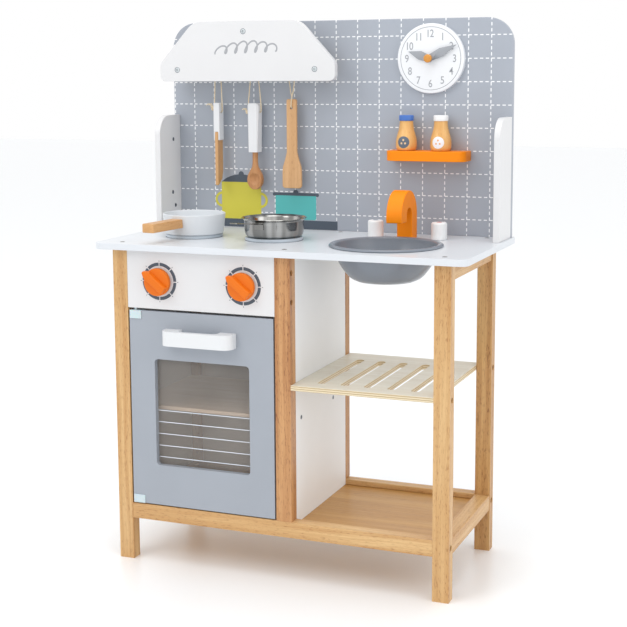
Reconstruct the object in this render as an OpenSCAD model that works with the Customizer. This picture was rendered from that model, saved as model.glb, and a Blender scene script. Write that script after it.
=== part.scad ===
// Toy kitchen: a wooden play kitchen with an oven, a hob, a sink and an open shelf.
// Millimetres, +Z up, front faces -Y, origin under the middle of the bounding box.

/* [Overall] */
// Width of the worktop
top_w = 600; // [580:5:620]
// Height of the worktop's upper face
top_z = 510; // [500:5:520]
// Thickness of the worktop
top_t = 10; // [8:1:12]
// Height of the backboard's upper edge
board_top = 854; // [840:2:880]
// Corner radius of the backboard
board_r = 42; // [20:1:60]

/* [Frame] */
// Width of a leg across the front
leg_w = 25; // [20:1:28]
// Depth of a leg
leg_d = 20; // [18:1:22]
// Height of the underside of the bottom rails
rail_z = 68; // [60:1:80]
// Height of a bottom rail's section
rail_h = 25; // [20:1:28]

/* [Oven] */
// Height of the control panel's lower edge
panel_z = 408.5; // [405:0.5:412]
// Thickness of the control panel and the door
front_t = 12; // [10:1:12]
// Radius of a control knob
knob_r = 21.5; // [18:0.5:23]

/* [Sink and hob] */
// Outer radius of the sink's rim
sink_r = 87; // [80:1:87]
// Radius of a hob disc
hob_r = 45.5; // [40:0.5:48]
// Outer radius of the saucepan at its rim
pot_r = 50.5; // [46:0.5:52]
// Outer radius of the frying pan at its rim
pan_r = 52; // [48:0.5:54]

/* [Backboard fittings] */
// Radius of the clock's face
clock_r = 55; // [45:1:58]
// Height of a side fin above the worktop
fin_h = 190; // [150:5:200]

/* [Hidden] */
$fn = 64;

// Gaps: parts that never meet on the move, and pins that turn in their holes
gap = 0.3;
running = 0.05;

// Depth layout, from the handle's front face at -150 to the worktop's back edge at 150
front_y = -125;
back_y = 111;
overhang = 15;
top_back = 150;
top_low = top_z - top_t;
rail_top = rail_z + rail_h;

// Legs: left edges of the three columns
leg_x_left = -273.5;
leg_x_mid = 1;
leg_x_right = 248.5;
leg_columns = [leg_x_left, leg_x_mid, leg_x_right];
mid_leg_right = leg_x_mid + leg_w;
left_leg_right = leg_x_left + leg_w;

// Panels
divider_x = 16.5;
divider_t = 9;
side_panel_x = -270;
board_z = 78;
board_t = 6;
board_up = board_z + board_t;
shelf_z = 298;
shelf_t = 8;
oven_shelf_z = 244;
oven_shelf_t = 6;

// Backboard and what stands on it
board_y = 134;
board_thick = 9;
board_half = 296;
fin_t = 10;
fin_y = 60;
fin_out = 295.5;
fin_r = 32;
hood_y = 78;
hood_t = 12;
hood_x = -135.5;
hood_low = 756.5;
hood_screw_spots = [[-139, 837], [-260, 775.5], [-14, 775.5]];
peg_xs = [-204, -137, -70];
peg_z = 782;
peg_r = 4;
hang_y = 117;
clock_x = 164.5;
clock_z = 791;
clock_t = 8;
hands_x = 162.5;
pin_r = 2.5;
spice_z = 630;
spice_t = 16;
shaker_xs = [129, 186];

// Oven front
knob_xs = [-192, -50];
knob_z = 452.3;
door_left = -246;
door_right = -1.5;
door_low = 95;
door_high = 405;
hinge_x = -238;
hinge_y = front_y + front_t / 2;
window_low = 159.5;
window_high = 329.5;
window_left = -203.5;
window_right = -42;
handle_x = -122;
handle_z = 367.7;

// Sink and hob
sink_x = 143;
sink_y = -27;
hob_xs = [-188, -48];
hob_y = -11;
hob_t = 5;
faucet_y = 49;
faucet_w = 25;
faucet_out = 40;
faucet_in = 13;
faucet_z = 548;
tap_xs = [91, 196];
tap_y = 75;
tap_r = 12.5;
tap_h = 27;

paint = "white";
grey = [0.65, 0.68, 0.73];
oak = [0.87, 0.72, 0.49];
orange = [1, 0.57, 0.16];
steel = [0.75, 0.76, 0.78];

// ---- helpers ----

function unit(v) = v / norm(v);

// Tangent points and arc centre that round corner p, between its neighbours a and b
function corner(p, a, b, r) =
    let (u = unit(a - p), v = unit(b - p), half = acos(u * v) / 2, t = r / tan(half))
    [p + u * t, p + v * t, p + unit(u + v) * r / sin(half)];

// Convex outline with a radius at each corner
module rounded(points, radii) {
    n = len(points);
    corners = [for (i = [0:n - 1]) corner(points[i], points[(i + n - 1) % n], points[(i + 1) % n], radii[i])];
    polygon([for (c = corners) each [c[0], c[1]]]);
    for (i = [0:n - 1]) translate(corners[i][2]) circle(r = radii[i]);
}

function box_outline(x0, y0, x1, y1) = [[x0, y0], [x1, y0], [x1, y1], [x0, y1]];

// Box between two corners
module block(low, high) {
    translate(low) cube(high - low);
}

// An outline drawn in X and Z, standing with its front face at y
module upright(y, thick) {
    translate([0, y + thick, 0]) rotate([90, 0, 0]) linear_extrude(thick) children();
}

// An outline drawn in Y and Z, standing with its left face at x
module sideways(x, thick) {
    translate([x, 0, 0]) rotate([90, 0, 90]) linear_extrude(thick) children();
}

// Countersunk screw along -Z with its head's face at the origin
module screw(head_r, shank_r, length) {
    head_h = head_r - shank_r;
    rotate_extrude() polygon([[0, 0], [head_r, 0], [shank_r, -head_h], [shank_r, -length], [0, -length]]);
}

// The hole a screw needs, a little larger all round
module screw_hole(head_r, shank_r, length) {
    translate([0, 0, 0.01]) screw(head_r + 0.1, shank_r + 0.1, length + 0.2);
}

module at(places) {
    for (p = places) translate(p) children();
}

// ---- fastener places ----

worktop_spots = [for (x = leg_columns) for (y = [front_y, back_y]) [x + leg_w / 2, y + leg_d / 2, top_z]];
// Bolts through the legs, as [y, z] seen from the side
side_bolts_panel = [[front_y + front_t / 2, 475.5], [front_y + front_t / 2, 431.3]];
side_bolts_right = [[front_y + 10, 302], [front_y + 10, 81], [back_y + 10, 302], [back_y + 10, 82.5]];
side_bolts_left = [[front_y + 10, 81], [back_y + 10, 82.5]];
bolt_head_r = 4.5;
bolt_r = 2.5;
bolt_sink = 3;
bolt_len = 38;
// Countersunk screws that hold the worktop down on the legs
top_head_r = 4.5;
top_shank_r = 2;
top_screw_len = 30;
// Small screws: in the divider, in the fins and in the hood
divider_screws = [[-82, 247], [54, 247]];
fin_screws = [[108, 659], [103, 569], [112, 546]];
small_head = 3.5;
small_shank = 1.6;

// Places a bolt on the right face of a leg at x_face, head sunk, pointing to -X
module side_bolt(x_face, spot) {
    translate([x_face - bolt_sink, spot[0], spot[1]]) rotate([0, 90, 0]) {
        translate([0, 0, -2.5]) cylinder(r = bolt_head_r, h = 2.5);
        translate([0, 0, -bolt_len]) cylinder(r = bolt_r, h = bolt_len - 2.4);
    }
}

module side_bolt_hole(x_face, spot) {
    translate([x_face, spot[0], spot[1]]) rotate([0, 90, 0]) {
        translate([0, 0, -5.6]) cylinder(r = bolt_head_r + 0.1, h = 6);
        translate([0, 0, -bolt_len - bolt_sink - 0.2]) cylinder(r = bolt_r + 0.1, h = bolt_len);
    }
}

// Every side bolt, as a bolt or as its hole; the left ones point to +X
module all_side_bolts(hole = false) {
    right_face = leg_x_right + leg_w;
    for (s = side_bolts_right) {
        if (hole) side_bolt_hole(right_face, s); else side_bolt(right_face, s);
    }
    for (s = side_bolts_panel) {
        if (hole) side_bolt_hole(mid_leg_right, s); else side_bolt(mid_leg_right, s);
    }
    for (s = concat(side_bolts_left, side_bolts_panel)) {
        translate([leg_x_left, 0, 0]) mirror([1, 0, 0]) {
            if (hole) side_bolt_hole(0, s); else side_bolt(0, s);
        }
    }
}

// ---- frame ----

module leg(x, y, z0) {
    color(oak) difference() {
        block([x, y, z0], [x + leg_w, y + leg_d, top_low]);
        at(worktop_spots) screw_hole(top_head_r, top_shank_r, top_screw_len);
        all_side_bolts(true);
    }
}

module leg_front_left() { leg(leg_x_left, front_y, 0); }
module leg_front_middle() { leg(leg_x_mid, front_y, rail_top); }
module leg_front_right() { leg(leg_x_right, front_y, 0); }
module leg_back_left() { leg(leg_x_left, back_y, 0); }
module leg_back_middle() { leg(leg_x_mid, back_y, rail_top); }
module leg_back_right() { leg(leg_x_right, back_y, 0); }

// Rail between the outer legs, with a groove that holds the bottom board
module long_rail(y, groove_y) {
    color(oak) difference() {
        block([left_leg_right, y, rail_z], [leg_x_right, y + leg_d, rail_top]);
        block([left_leg_right - 1, groove_y, board_z], [leg_x_right + 1, groove_y + 5, board_up]);
        all_side_bolts(true);
        translate([hinge_x, hinge_y, rail_top - 10]) cylinder(r = pin_r + running, h = 11);
    }
}

module rail_front() { long_rail(front_y, front_y + leg_d - 4); }
module rail_back() { long_rail(back_y, back_y - 1); }

module side_rails() {
    color(oak) {
        block([leg_x_left + 0.5, front_y + leg_d, rail_z], [leg_x_left + leg_w, back_y, rail_top]);
        block([leg_x_right, front_y + leg_d, rail_z], [leg_x_right + leg_w - 0.5, back_y, rail_top]);
    }
}

module aprons() {
    apron_z = top_low - rail_h;
    color(oak) {
        block([leg_x_right + 4, front_y + leg_d, apron_z], [leg_x_right + leg_w - 2, back_y, top_low]);
        block([left_leg_right, back_y + 1, apron_z], [leg_x_mid, back_y + 13, top_low]);
        block([mid_leg_right, back_y + 1, apron_z], [leg_x_right, back_y + 13, top_low]);
    }
}

module bottom_board() {
    color([0.83, 0.69, 0.42])
        block([left_leg_right, front_y + leg_d - 4, board_z], [leg_x_right, back_y + 4, board_up]);
}

module worktop() {
    half = top_w / 2;
    color(paint) difference() {
        translate([0, 0, top_low]) linear_extrude(top_t)
            rounded(box_outline(-half, front_y - overhang, half, top_back), [14, 14, 6, 6]);
        translate([sink_x, sink_y, top_low - 1]) cylinder(r = sink_r - 6, h = top_t + 2);
        at(worktop_spots) screw_hole(top_head_r, top_shank_r, top_screw_len);
        at(sink_screw_spots) translate([0, 0, top_low - 1]) cylinder(r = 2.6, h = top_t + 2);
    }
}

module worktop_screws() {
    color(steel) at(worktop_spots) screw(top_head_r, top_shank_r, top_screw_len);
}

module frame_bolts() {
    color([0.45, 0.33, 0.22]) all_side_bolts();
}

// ---- panels ----

module control_panel() {
    color(paint) difference() {
        block([left_leg_right, front_y, panel_z], [leg_x_mid, front_y + front_t, top_low]);
        for (x = knob_xs) translate([x, front_y - 1, knob_z]) rotate([-90, 0, 0]) cylinder(r = 3.1, h = 40);
        translate([hinge_x, hinge_y, panel_z - 1]) cylinder(r = pin_r + running, h = 11);
        all_side_bolts(true);
    }
}

module side_panel() {
    color(paint) block([side_panel_x, front_y + leg_d, rail_top], [side_panel_x + divider_t, back_y, top_low]);
}

module divider_panel() {
    color(paint) difference() {
        block([divider_x, front_y + leg_d, board_up], [divider_x + divider_t, back_y, top_low]);
        for (s = divider_screws)
            translate([divider_x + divider_t, s[0], s[1]]) rotate([0, 90, 0])
                screw_hole(small_head, small_shank, 24);
    }
}

module oven_back() {
    color(paint) block([left_leg_right, back_y + 14, rail_top], [leg_x_mid, back_y + 18, top_low]);
}

module oven_shelf() {
    color([0.8, 0.66, 0.5]) difference() {
        block([side_panel_x + divider_t, front_y + leg_d + 2, oven_shelf_z],
              [divider_x, back_y, oven_shelf_z + oven_shelf_t]);
        for (s = divider_screws)
            translate([divider_x + divider_t, s[0], s[1]]) rotate([0, 90, 0])
                screw_hole(small_head, small_shank, 24);
    }
}

// Fin screws: heads on the inner face of each fin, pointing outwards
module fin_screw_set(hole = false) {
    for (side = [0, 1]) mirror([side, 0, 0]) for (s = fin_screws)
        translate([fin_t - fin_out, s[0], s[1]]) rotate([0, 90, 0]) {
            if (hole) screw_hole(small_head, small_shank, 7); else screw(small_head, small_shank, 7);
        }
}

module hood_screw_set(hole = false) {
    for (s = hood_screw_spots) translate([s[0], hood_y, s[1]]) rotate([90, 0, 0]) {
        if (hole) screw_hole(4.2, 1.8, 30); else screw(4.2, 1.8, 30);
    }
}

module panel_screws() {
    color(steel) {
        for (s = divider_screws)
            translate([divider_x + divider_t, s[0], s[1]]) rotate([0, 90, 0])
                screw(small_head, small_shank, 24);
        fin_screw_set();
        hood_screw_set();
    }
}

module slatted_shelf() {
    slot_w = 13;
    slot_pitch = 37;
    slot_front = front_y + 27;
    slot_back = front_y + 211;
    middle = (mid_leg_right + leg_x_right) / 2;
    color([0.93, 0.89, 0.8]) difference() {
        block([mid_leg_right, front_y, shelf_z], [leg_x_right, back_y + leg_d, shelf_z + shelf_t]);
        for (i = [-2:2]) translate([middle + i * slot_pitch, 0, shelf_z - 1]) linear_extrude(shelf_t + 2) {
            translate([-slot_w / 2, slot_front + slot_w / 2])
                square([slot_w, slot_back - slot_front - slot_w]);
            for (y = [slot_front + slot_w / 2, slot_back - slot_w / 2]) translate([0, y]) circle(d = slot_w);
        }
        all_side_bolts(true);
    }
}

// ---- backboard ----

module backboard() {
    color(grey) difference() {
        upright(board_y, board_thick) rounded(
            box_outline(-board_half, top_z, board_half, board_top), [1, 1, board_r, board_r]);
        for (x = peg_xs) translate([x, board_y - 1, peg_z]) rotate([-90, 0, 0]) cylinder(r = peg_r, h = 8);
        translate([hands_x, board_y - 1, clock_z]) rotate([-90, 0, 0]) cylinder(r = pin_r, h = 7);
    }
}

module fin(side) {
    color(paint) difference() {
        mirror([side, 0, 0]) sideways(-fin_out, fin_t)
            rounded(box_outline(fin_y, top_z, board_y, top_z + fin_h), [1, 1, 1, fin_r]);
        fin_screw_set(true);
    }
}

module fin_left() { fin(0); }
module fin_right() { fin(1); }

module hood_board() {
    color(paint) difference() {
        translate([hood_x, 0, 0]) upright(hood_y, hood_t) rounded(
            [[-156.5, hood_low], [156.5, hood_low], [156.5, 786], [94, board_top], [-94, board_top], [-156.5, 786]],
            [10, 10, 18, 34, 34, 18]);
        hood_screw_set(true);
    }
}

module hood_spacers() {
    color(oak) difference() {
        for (s = hood_screw_spots) translate([s[0], hood_y + hood_t, s[1]]) rotate([-90, 0, 0])
            cylinder(r = 10, h = board_y - hood_y - hood_t);
        hood_screw_set(true);
    }
}

module utensil_pegs() {
    color(oak) for (x = peg_xs) translate([x, board_y + 6, peg_z]) rotate([90, 0, 0]) {
        cylinder(r = peg_r, h = 36);
        translate([0, 0, 36]) cylinder(r = 7, h = 4);
    }
}

module spice_shelf() {
    depth = 40;
    color(orange) translate([0, 0, spice_z]) linear_extrude(spice_t)
        rounded(box_outline(99, board_y - depth, 230, board_y), [14, 14, 1, 1]);
}

module clock_face() {
    color(paint) difference() {
        translate([clock_x, board_y, clock_z]) rotate([90, 0, 0]) cylinder(r = clock_r, h = clock_t);
        translate([hands_x, board_y + 1, clock_z]) rotate([90, 0, 0]) cylinder(r = pin_r, h = clock_t + 2);
    }
}

// Wooden cap whose stem is the pin that both hands turn on
module clock_cap() {
    color([0.85, 0.58, 0.2]) translate([hands_x, board_y + 6, clock_z]) rotate([90, 0, 0]) {
        cylinder(r = pin_r, h = 22);
        translate([0, 0, 21]) cylinder(r = 6.5, h = 5);
    }
}

// Leaf-shaped hand lying along +X before it is turned to its hour
module hand(y, length, width, angle) {
    color([0.6, 0.62, 0.65]) translate([hands_x, y, clock_z]) rotate([0, -angle, 0]) rotate([90, 0, 0])
        difference() {
            linear_extrude(2) union() {
                circle(r = 6);
                polygon([[-8, 0], [0, 5], [length * 0.45, width / 2], [length, 0],
                         [length * 0.45, -width / 2], [0, -5]]);
            }
            translate([0, 0, -1]) cylinder(r = pin_r + running, h = 4);
        }
}

module hour_hand() { hand(board_y - clock_t - 0.4, 36, 14, 162); }
module minute_hand() { hand(board_y - clock_t - 2.9, 50, 14, 25); }

// ---- oven door ----

module door_panel() {
    pane = 8;
    color(grey) difference() {
        block([door_left, front_y, door_low], [door_right, front_y + front_t, door_high]);
        upright(front_y - 1, front_t + 2)
            rounded(box_outline(window_left, window_low, window_right, window_high), [6, 6, 6, 6]);
        upright(front_y + front_t - 3, 4) rounded(
            box_outline(window_left - pane, window_low - pane, window_right + pane, window_high + pane),
            [4, 4, 4, 4]);
        // recess for the strike plate
        block([-13, front_y + front_t - 1.2, 240], [door_right + 1, front_y + front_t + 1, 260]);
        hinge_leaves(0.05);
        door_screw_set(true);
    }
}

module door_window() {
    pane = 7.8;
    color([0.85, 0.9, 0.92, 0.35]) upright(front_y + front_t - 3, 2) rounded(
        box_outline(window_left - pane, window_low - pane, window_right + pane, window_high + pane),
        [4, 4, 4, 4]);
}

// Screws that clamp the pane's edge and hold the handle, all from inside the door
pane_spots = [for (x = [window_left - 12, window_right + 12]) for (z = [window_low + 20, window_high - 20]) [x, z]];
handle_spots = [for (side = [-1, 1]) [handle_x + side * 49, handle_z]];

module door_screw_set(hole = false) {
    back = front_y + front_t;
    for (s = pane_spots) translate([s[0], back, s[1]]) rotate([-90, 0, 0]) {
        if (hole) screw_hole(3.2, 1.5, 8); else screw(3.2, 1.5, 8);
    }
    for (s = handle_spots) translate([s[0], back, s[1]]) rotate([-90, 0, 0]) {
        if (hole) screw_hole(4, 2, 26); else screw(4, 2, 26);
    }
}

module door_screws() { color(steel) door_screw_set(); }

module door_handle() {
    height = 22.5;
    reach = 25;
    color(paint) difference() {
        translate([handle_x, front_y, handle_z - height / 2]) linear_extrude(height) difference() {
            rounded(box_outline(-59.5, -reach, 59.5, 0), [15, 15, 1, 1]);
            rounded(box_outline(-33, 8 - reach, 33, 10), [9, 9, 1, 1]);
            // keeps the rounded ends in front of the door's face
            translate([-60, 0]) square([120, 10]);
        }
        door_screw_set(true);
    }
}

// Corner plates that carry the door: a face, a leaf under the edge and a pin
module hinge_leaves(extra) {
    leaf = 1.2;
    for (z = [door_low, door_high - leaf]) block([door_left + 1 - extra, front_y - 1, z - (z < 200 ? 1 : extra)],
        [door_left + 21 + extra, front_y + front_t + 1, z + leaf + (z < 200 ? extra : 1)]);
}

module hinge_plates() {
    leaf = 1.2;
    face_h = 13;
    x0 = door_left + 1;
    x1 = door_left + 21;
    color([0.86, 0.93, 0.95]) {
        block([x0, front_y - 1.6, door_low], [x1, front_y, door_low + face_h]);
        block([x0, front_y - 0.1, door_low], [x1, front_y + front_t, door_low + leaf]);
        translate([hinge_x, hinge_y, door_low - 10]) cylinder(r = pin_r, h = 10.1);
        block([x0, front_y - 1.6, door_high - face_h], [x1, front_y, door_high]);
        block([x0, front_y - 0.1, door_high - leaf], [x1, front_y + front_t, door_high]);
        translate([hinge_x, hinge_y, door_high - 0.1]) cylinder(r = pin_r, h = 11);
    }
}

module door_catch() {
    y0 = front_y + front_t + gap;
    color(paint) block([leg_x_mid - 11, y0, 238], [leg_x_mid, y0 + 7.5, 262]);
}

module door_strike() {
    color(steel) block([-12.8, front_y + front_t - 1.2, 240.2], [door_right, front_y + front_t, 259.8]);
}

// ---- knobs ----

// Disc with a raised diagonal grip that ends in a pointer
module knob(x) {
    disc_t = 8;
    grip_t = 8;
    grip_w = 13;
    color(orange) translate([x, front_y - 4, knob_z]) rotate([90, 0, 0]) difference() {
        union() {
            cylinder(r = knob_r, h = disc_t);
            translate([0, 0, disc_t - 0.1]) linear_extrude(grip_t) rotate(141) polygon([
                [-20.5, -grip_w / 2], [20, -grip_w / 2], [26, -1.5], [26, 1.5], [20, grip_w / 2],
                [-20.5, grip_w / 2]]);
        }
        translate([0, 0, -1]) cylinder(r = 3 + running, h = 11);
    }
}

module knob_left() { knob(knob_xs[0]); }
module knob_right() { knob(knob_xs[1]); }

module knob_spindles() {
    color(steel) for (x = knob_xs) translate([x, front_y + front_t + 3, knob_z]) rotate([90, 0, 0]) {
        cylinder(r = 3, h = 28.5);
        cylinder(r = 6, h = 3);
    }
}

// ---- hob and sink ----

module hob_discs() {
    color([0.78, 0.83, 0.87]) for (x = hob_xs) translate([x, hob_y, top_z]) cylinder(r = hob_r, h = hob_t);
}

// Screws from below: two for the faucet, one under each tap
sink_screw_spots = [
    [sink_x, faucet_y + 20, 0], [sink_x, faucet_y + 33, 0],
    [tap_xs[0], tap_y, 0], [tap_xs[1], tap_y, 0]
];

module faucet() {
    color(orange) difference() {
        sideways(sink_x - faucet_w / 2, faucet_w) difference() {
            union() {
                translate([faucet_y, faucet_z]) circle(r = faucet_out);
                translate([faucet_y + faucet_in, top_z]) square([faucet_out - faucet_in, faucet_z - top_z]);
            }
            translate([faucet_y, faucet_z]) circle(r = faucet_in);
            translate([faucet_y - faucet_out - 1, top_z - 20])
                square([faucet_out + faucet_in + 1, faucet_z - top_z + 12]);
            translate([faucet_y - faucet_in, top_z - 20]) square([2 * faucet_in, faucet_z - top_z + 20]);
            translate([faucet_y - faucet_out, top_z - 30]) square([2 * faucet_out, 30]);
        }
        at(sink_screw_spots) translate([0, 0, top_z - 1]) cylinder(r = 2, h = 16);
    }
}

module sink_screws() {
    color(steel) {
        for (i = [0, 1]) translate(sink_screw_spots[i]) {
            translate([0, 0, top_low - 2]) cylinder(r = 4, h = 2);
            translate([0, 0, top_low - 0.1]) cylinder(r = 2, h = 25);
        }
        for (i = [2, 3]) translate(sink_screw_spots[i]) {
            translate([0, 0, top_low - 2]) cylinder(r = 4.5, h = 2);
            translate([0, 0, top_low - 0.1]) cylinder(r = 2.5, h = 28);
        }
    }
}

module tap(x) {
    edge = 2;
    color(paint) translate([x, tap_y, top_z + gap]) difference() {
        rotate_extrude() polygon([[0, 0], [tap_r, 0], [tap_r, tap_h - edge], [tap_r - edge, tap_h], [0, tap_h]]);
        translate([0, 0, -1]) cylinder(r = 2.5 + running, h = 20);
    }
}

module tap_cold() { tap(tap_xs[0]); }
module tap_hot() { tap(tap_xs[1]); }

// Half section of the bowl: outside from the rim down, then the inside back up
bowl_wall = 2;
bowl_out = [[sink_r - 7, 0.3], [sink_r - 9, -8], [72, -24], [63, -38], [54, -48], [44, -53]];
bowl_depth = 53;

module sink_bowl() {
    color([0.55, 0.58, 0.62]) translate([sink_x, sink_y, top_z]) rotate_extrude() polygon(concat(
        [[0, -bowl_depth]], [for (i = [5:-1:0]) bowl_out[i]],
        [[sink_r - 1, 0.3], [sink_r, 1.5], [sink_r - 1.5, 3.6], [sink_r - 5, 4.4], [sink_r - 9, 3.2]],
        [for (i = [1:5]) bowl_out[i] + [-bowl_wall, bowl_wall * (i == 5 ? 1 : 0.4)]],
        [[0, bowl_wall - bowl_depth]]));
}

pot_z = top_z + hob_t + gap;
pot_h = 32.5;

module saucepan() {
    wall = 3;
    color(paint) translate([hob_xs[0], hob_y, pot_z]) rotate_extrude() polygon([
        [0, 0], [pot_r - 6, 0], [pot_r - 3, 3], [pot_r, pot_h], [pot_r - wall, pot_h],
        [pot_r - 3 - wall, 5], [0, 5]]);
}

module saucepan_handle() {
    color(oak) difference() {
        translate([hob_xs[0], hob_y, pot_z + 13]) rotate(-96.7)
            translate([pot_r - 4, -10.5, 0]) cube([82, 21, 14]);
        translate([hob_xs[0], hob_y, pot_z - 1]) cylinder(r1 = pot_r - 3.3, r2 = pot_r, h = pot_h + 2);
    }
}

module frying_pan() {
    wall = 1.4;
    outer = [[39, 0], [43, 1.6], [45.6, 5], [47, 12], [47, 25], [pan_r - 1, 29.2], [pan_r, 30.2]];
    color(steel) translate([hob_xs[1], hob_y, pot_z]) rotate_extrude() polygon(concat(
        [[0, 0]], outer, [for (i = [6:-1:0]) outer[i] + [-wall, i > 4 ? 0.9 : (i > 1 ? 0.4 : wall)]], [[0, wall]]));
}

// Steel strap welded to the pan's wall by a curved tab; it rises a little towards its end
module pan_handle() {
    tab_low = 15;
    tab_high = 25;
    strap_t = 1.6;
    strap_len = 80;
    color(steel) translate([hob_xs[1], hob_y, pot_z]) rotate(-96) {
        intersection() {
            difference() {
                translate([0, 0, tab_low]) cylinder(r = 48.4, h = tab_high - tab_low);
                cylinder(r = 47, h = tab_high + 1);
            }
            block([40, -8, tab_low - 1], [50, 8, tab_high + 1]);
        }
        translate([47.3, 0, tab_high - 0.6]) rotate([0, -6.5, 0]) translate([0, 0, -strap_t])
            linear_extrude(strap_t) difference() {
                rounded([[0, -7.5], [strap_len, -6.5], [strap_len, 6.5], [0, 7.5]], [0.5, 6, 6, 0.5]);
                for (x = [60, 70]) translate([x, 0]) circle(r = 2.5);
                translate([60, -2.5]) square([10, 5]);
            }
    }
}

// ---- shelf pieces ----

module shaker(x) {
    color([0.89, 0.68, 0.38]) translate([x, board_y - 20, spice_z + spice_t + gap]) rotate_extrude() polygon([
        [0, 0], [14.5, 0], [16, 2.5], [16.8, 8], [16.8, 14], [16, 20], [14, 27], [12, 34], [11, 40], [10.7, 47],
        [11.8, 47], [11.8, 55], [11, 56], [0, 56]]);
}

module pepper_shaker() { shaker(shaker_xs[0]); }
module salt_shaker() { shaker(shaker_xs[1]); }

// ---- utensils, hanging from their pegs ----

hole_z = 705;
spatula_hole_z = 712.5;

module knife() {
    x = peg_xs[0];
    color(paint) difference() {
        block([x - 5.5, hang_y - 9, 658], [x + 5.5, hang_y + 9, 720.5]);
        block([x - 2.75, hang_y - 10, 657], [x + 2.75, hang_y + 10, 672]);
        translate([x - 7, hang_y, hole_z]) rotate([0, 90, 0]) cylinder(r = 2.5, h = 14);
    }
    color(oak) sideways(x - 2.7, 5.4) polygon([
        [hang_y - 8.9, 671.8], [hang_y - 10, 657.5], [hang_y - 10, 583], [hang_y - 8, 582],
        [hang_y + 6, 592], [hang_y + 9.8, 606], [hang_y + 9.8, 657.5], [hang_y + 8.9, 657.9],
        [hang_y + 8.9, 671.8]]);
}

module spoon() {
    x = peg_xs[1];
    color(paint) difference() {
        intersection() {
            upright(hang_y - 12, 24) polygon([[x - 8, 639], [x + 8, 639], [x + 10, 712], [x + 10, 716], [x + 7, 720],
                [x - 7, 720], [x - 10, 716], [x - 10, 712]]);
            linear_extrude(900) polygon([[x - 10, hang_y - 7], [x - 7, hang_y - 10], [x + 7, hang_y - 10],
                [x + 10, hang_y - 7], [x + 10, hang_y + 7], [x + 7, hang_y + 10], [x - 7, hang_y + 10],
                [x - 10, hang_y + 7]]);
        }
        translate([x - 12, hang_y, hole_z]) rotate([0, 90, 0]) cylinder(r = 2.5, h = 24);
    }
    color([0.76, 0.54, 0.32]) difference() {
        intersection() {
            translate([x, hang_y, 576]) rotate_extrude() polygon([
                [0, 0], [6, 1], [10.5, 5], [13.4, 11], [14, 18], [12.6, 25], [9, 32], [5.6, 38], [4.6, 46],
                [4.6, 63], [0, 63]]);
            block([x - 20, hang_y - 5, 570], [x + 20, hang_y + 5, 639]);
        }
        translate([x, hang_y - 21, 594]) sphere(r = 19);
    }
}

module spatula() {
    x = peg_xs[2];
    color([0.85, 0.62, 0.4]) difference() {
        upright(hang_y - 2.75, 5.5) union() {
            polygon([[x - 9, 640], [x - 9, 725], [x - 7, 727], [x + 7, 727], [x + 9, 725], [x + 9, 640],
                [x + 12, 628], [x + 16, 616], [x + 17, 606], [x + 17, 583], [x + 14, 580], [x - 14, 580],
                [x - 17, 583], [x - 17, 606], [x - 16, 616], [x - 12, 628]]);
        }
        translate([x, hang_y - 5, spatula_hole_z]) rotate([-90, 0, 0]) cylinder(r = 2.5, h = 10);
    }
}

// ---- strings ----

string_r = 0.8;
string_sides = 8;

// Loop round a peg, given from the knot and back to it, about x 0 and y 0
over_peg = [
    [-5.2, 0, 782], [-3.7, 0, 785.7], [0, 0, 787.2], [3.7, 0, 785.7], [5.2, 0, 782]
];
knife_route = concat(
    [[-7.2, -1.2, 711], [-6.8, -0.6, 722], [-6.2, 0, 740], [-5.4, 0, 765]],
    over_peg,
    [[5.4, 0, 765], [6.2, 0, 740], [7, 0, 716], [7.2, 0, 709], [6.4, 0, 706], [4.6, 0, 705], [0, 0, 705],
     [-4.6, 0, 705], [-6.4, 0.4, 706], [-7.3, 0.9, 708.4], [-7.2, 1.2, 711]]);
spoon_route = concat(
    [[-11.6, -1.2, 711], [-11.2, -0.6, 720], [-9.6, 0, 738], [-6.6, 0, 766]],
    over_peg,
    [[6.6, 0, 766], [9.6, 0, 738], [11.6, 0, 714], [11.7, 0, 708.5], [10.9, 0, 706], [9, 0, 705], [0, 0, 705],
     [-9, 0, 705], [-10.9, 0.4, 706], [-11.8, 0.9, 708.5], [-11.6, 1.2, 711]]);
spatula_route = concat(
    [[-1.2, 4.6, 718], [-1.8, 4.2, 729], [-3.6, 2, 745], [-5.2, 0, 768]],
    over_peg,
    [[5.2, 0, 768], [4.2, -1.6, 745], [1.6, -4, 729], [0.6, -4.6, 718], [0.2, -4.4, 715], [0, -3, 713],
     [0, 0, 712.5], [0, 3, 713], [0.6, 4.5, 715], [1.2, 4.7, 718]]);

function tangent(route, i) =
    unit(route[min(i + 1, len(route) - 1)] - route[max(i - 1, 0)]);

// One ring of the tube, square to the route at point i
function ring(route, i, side) =
    let (t = tangent(route, i), u = unit(cross(t, side)), v = cross(t, u))
    [for (k = [0:string_sides - 1])
        route[i] + string_r * (u * cos(360 * k / string_sides) + v * sin(360 * k / string_sides))];

module string_tube(route, side) {
    n = len(route);
    m = string_sides;
    points = [for (i = [0:n - 1]) each ring(route, i, side)];
    sides = [for (i = [0:n - 2]) for (k = [0:m - 1]) let (a = i * m + k, b = i * m + (k + 1) % m)
        each [[a, b, b + m], [a, b + m, a + m]]];
    ends = [[for (k = [m - 1:-1:0]) k], [for (k = [0:m - 1]) (n - 1) * m + k]];
    color([0.85, 0.75, 0.55]) polyhedron(points, concat(sides, ends));
}

module knife_string() { translate([peg_xs[0], hang_y, 0]) string_tube(knife_route, [0, 1, 0]); }
module spoon_string() { translate([peg_xs[1], hang_y, 0]) string_tube(spoon_route, [0, 1, 0]); }
module spatula_string() { translate([peg_xs[2], hang_y, 0]) string_tube(spatula_route, [0.3, 1, 0.2]); }

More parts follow.
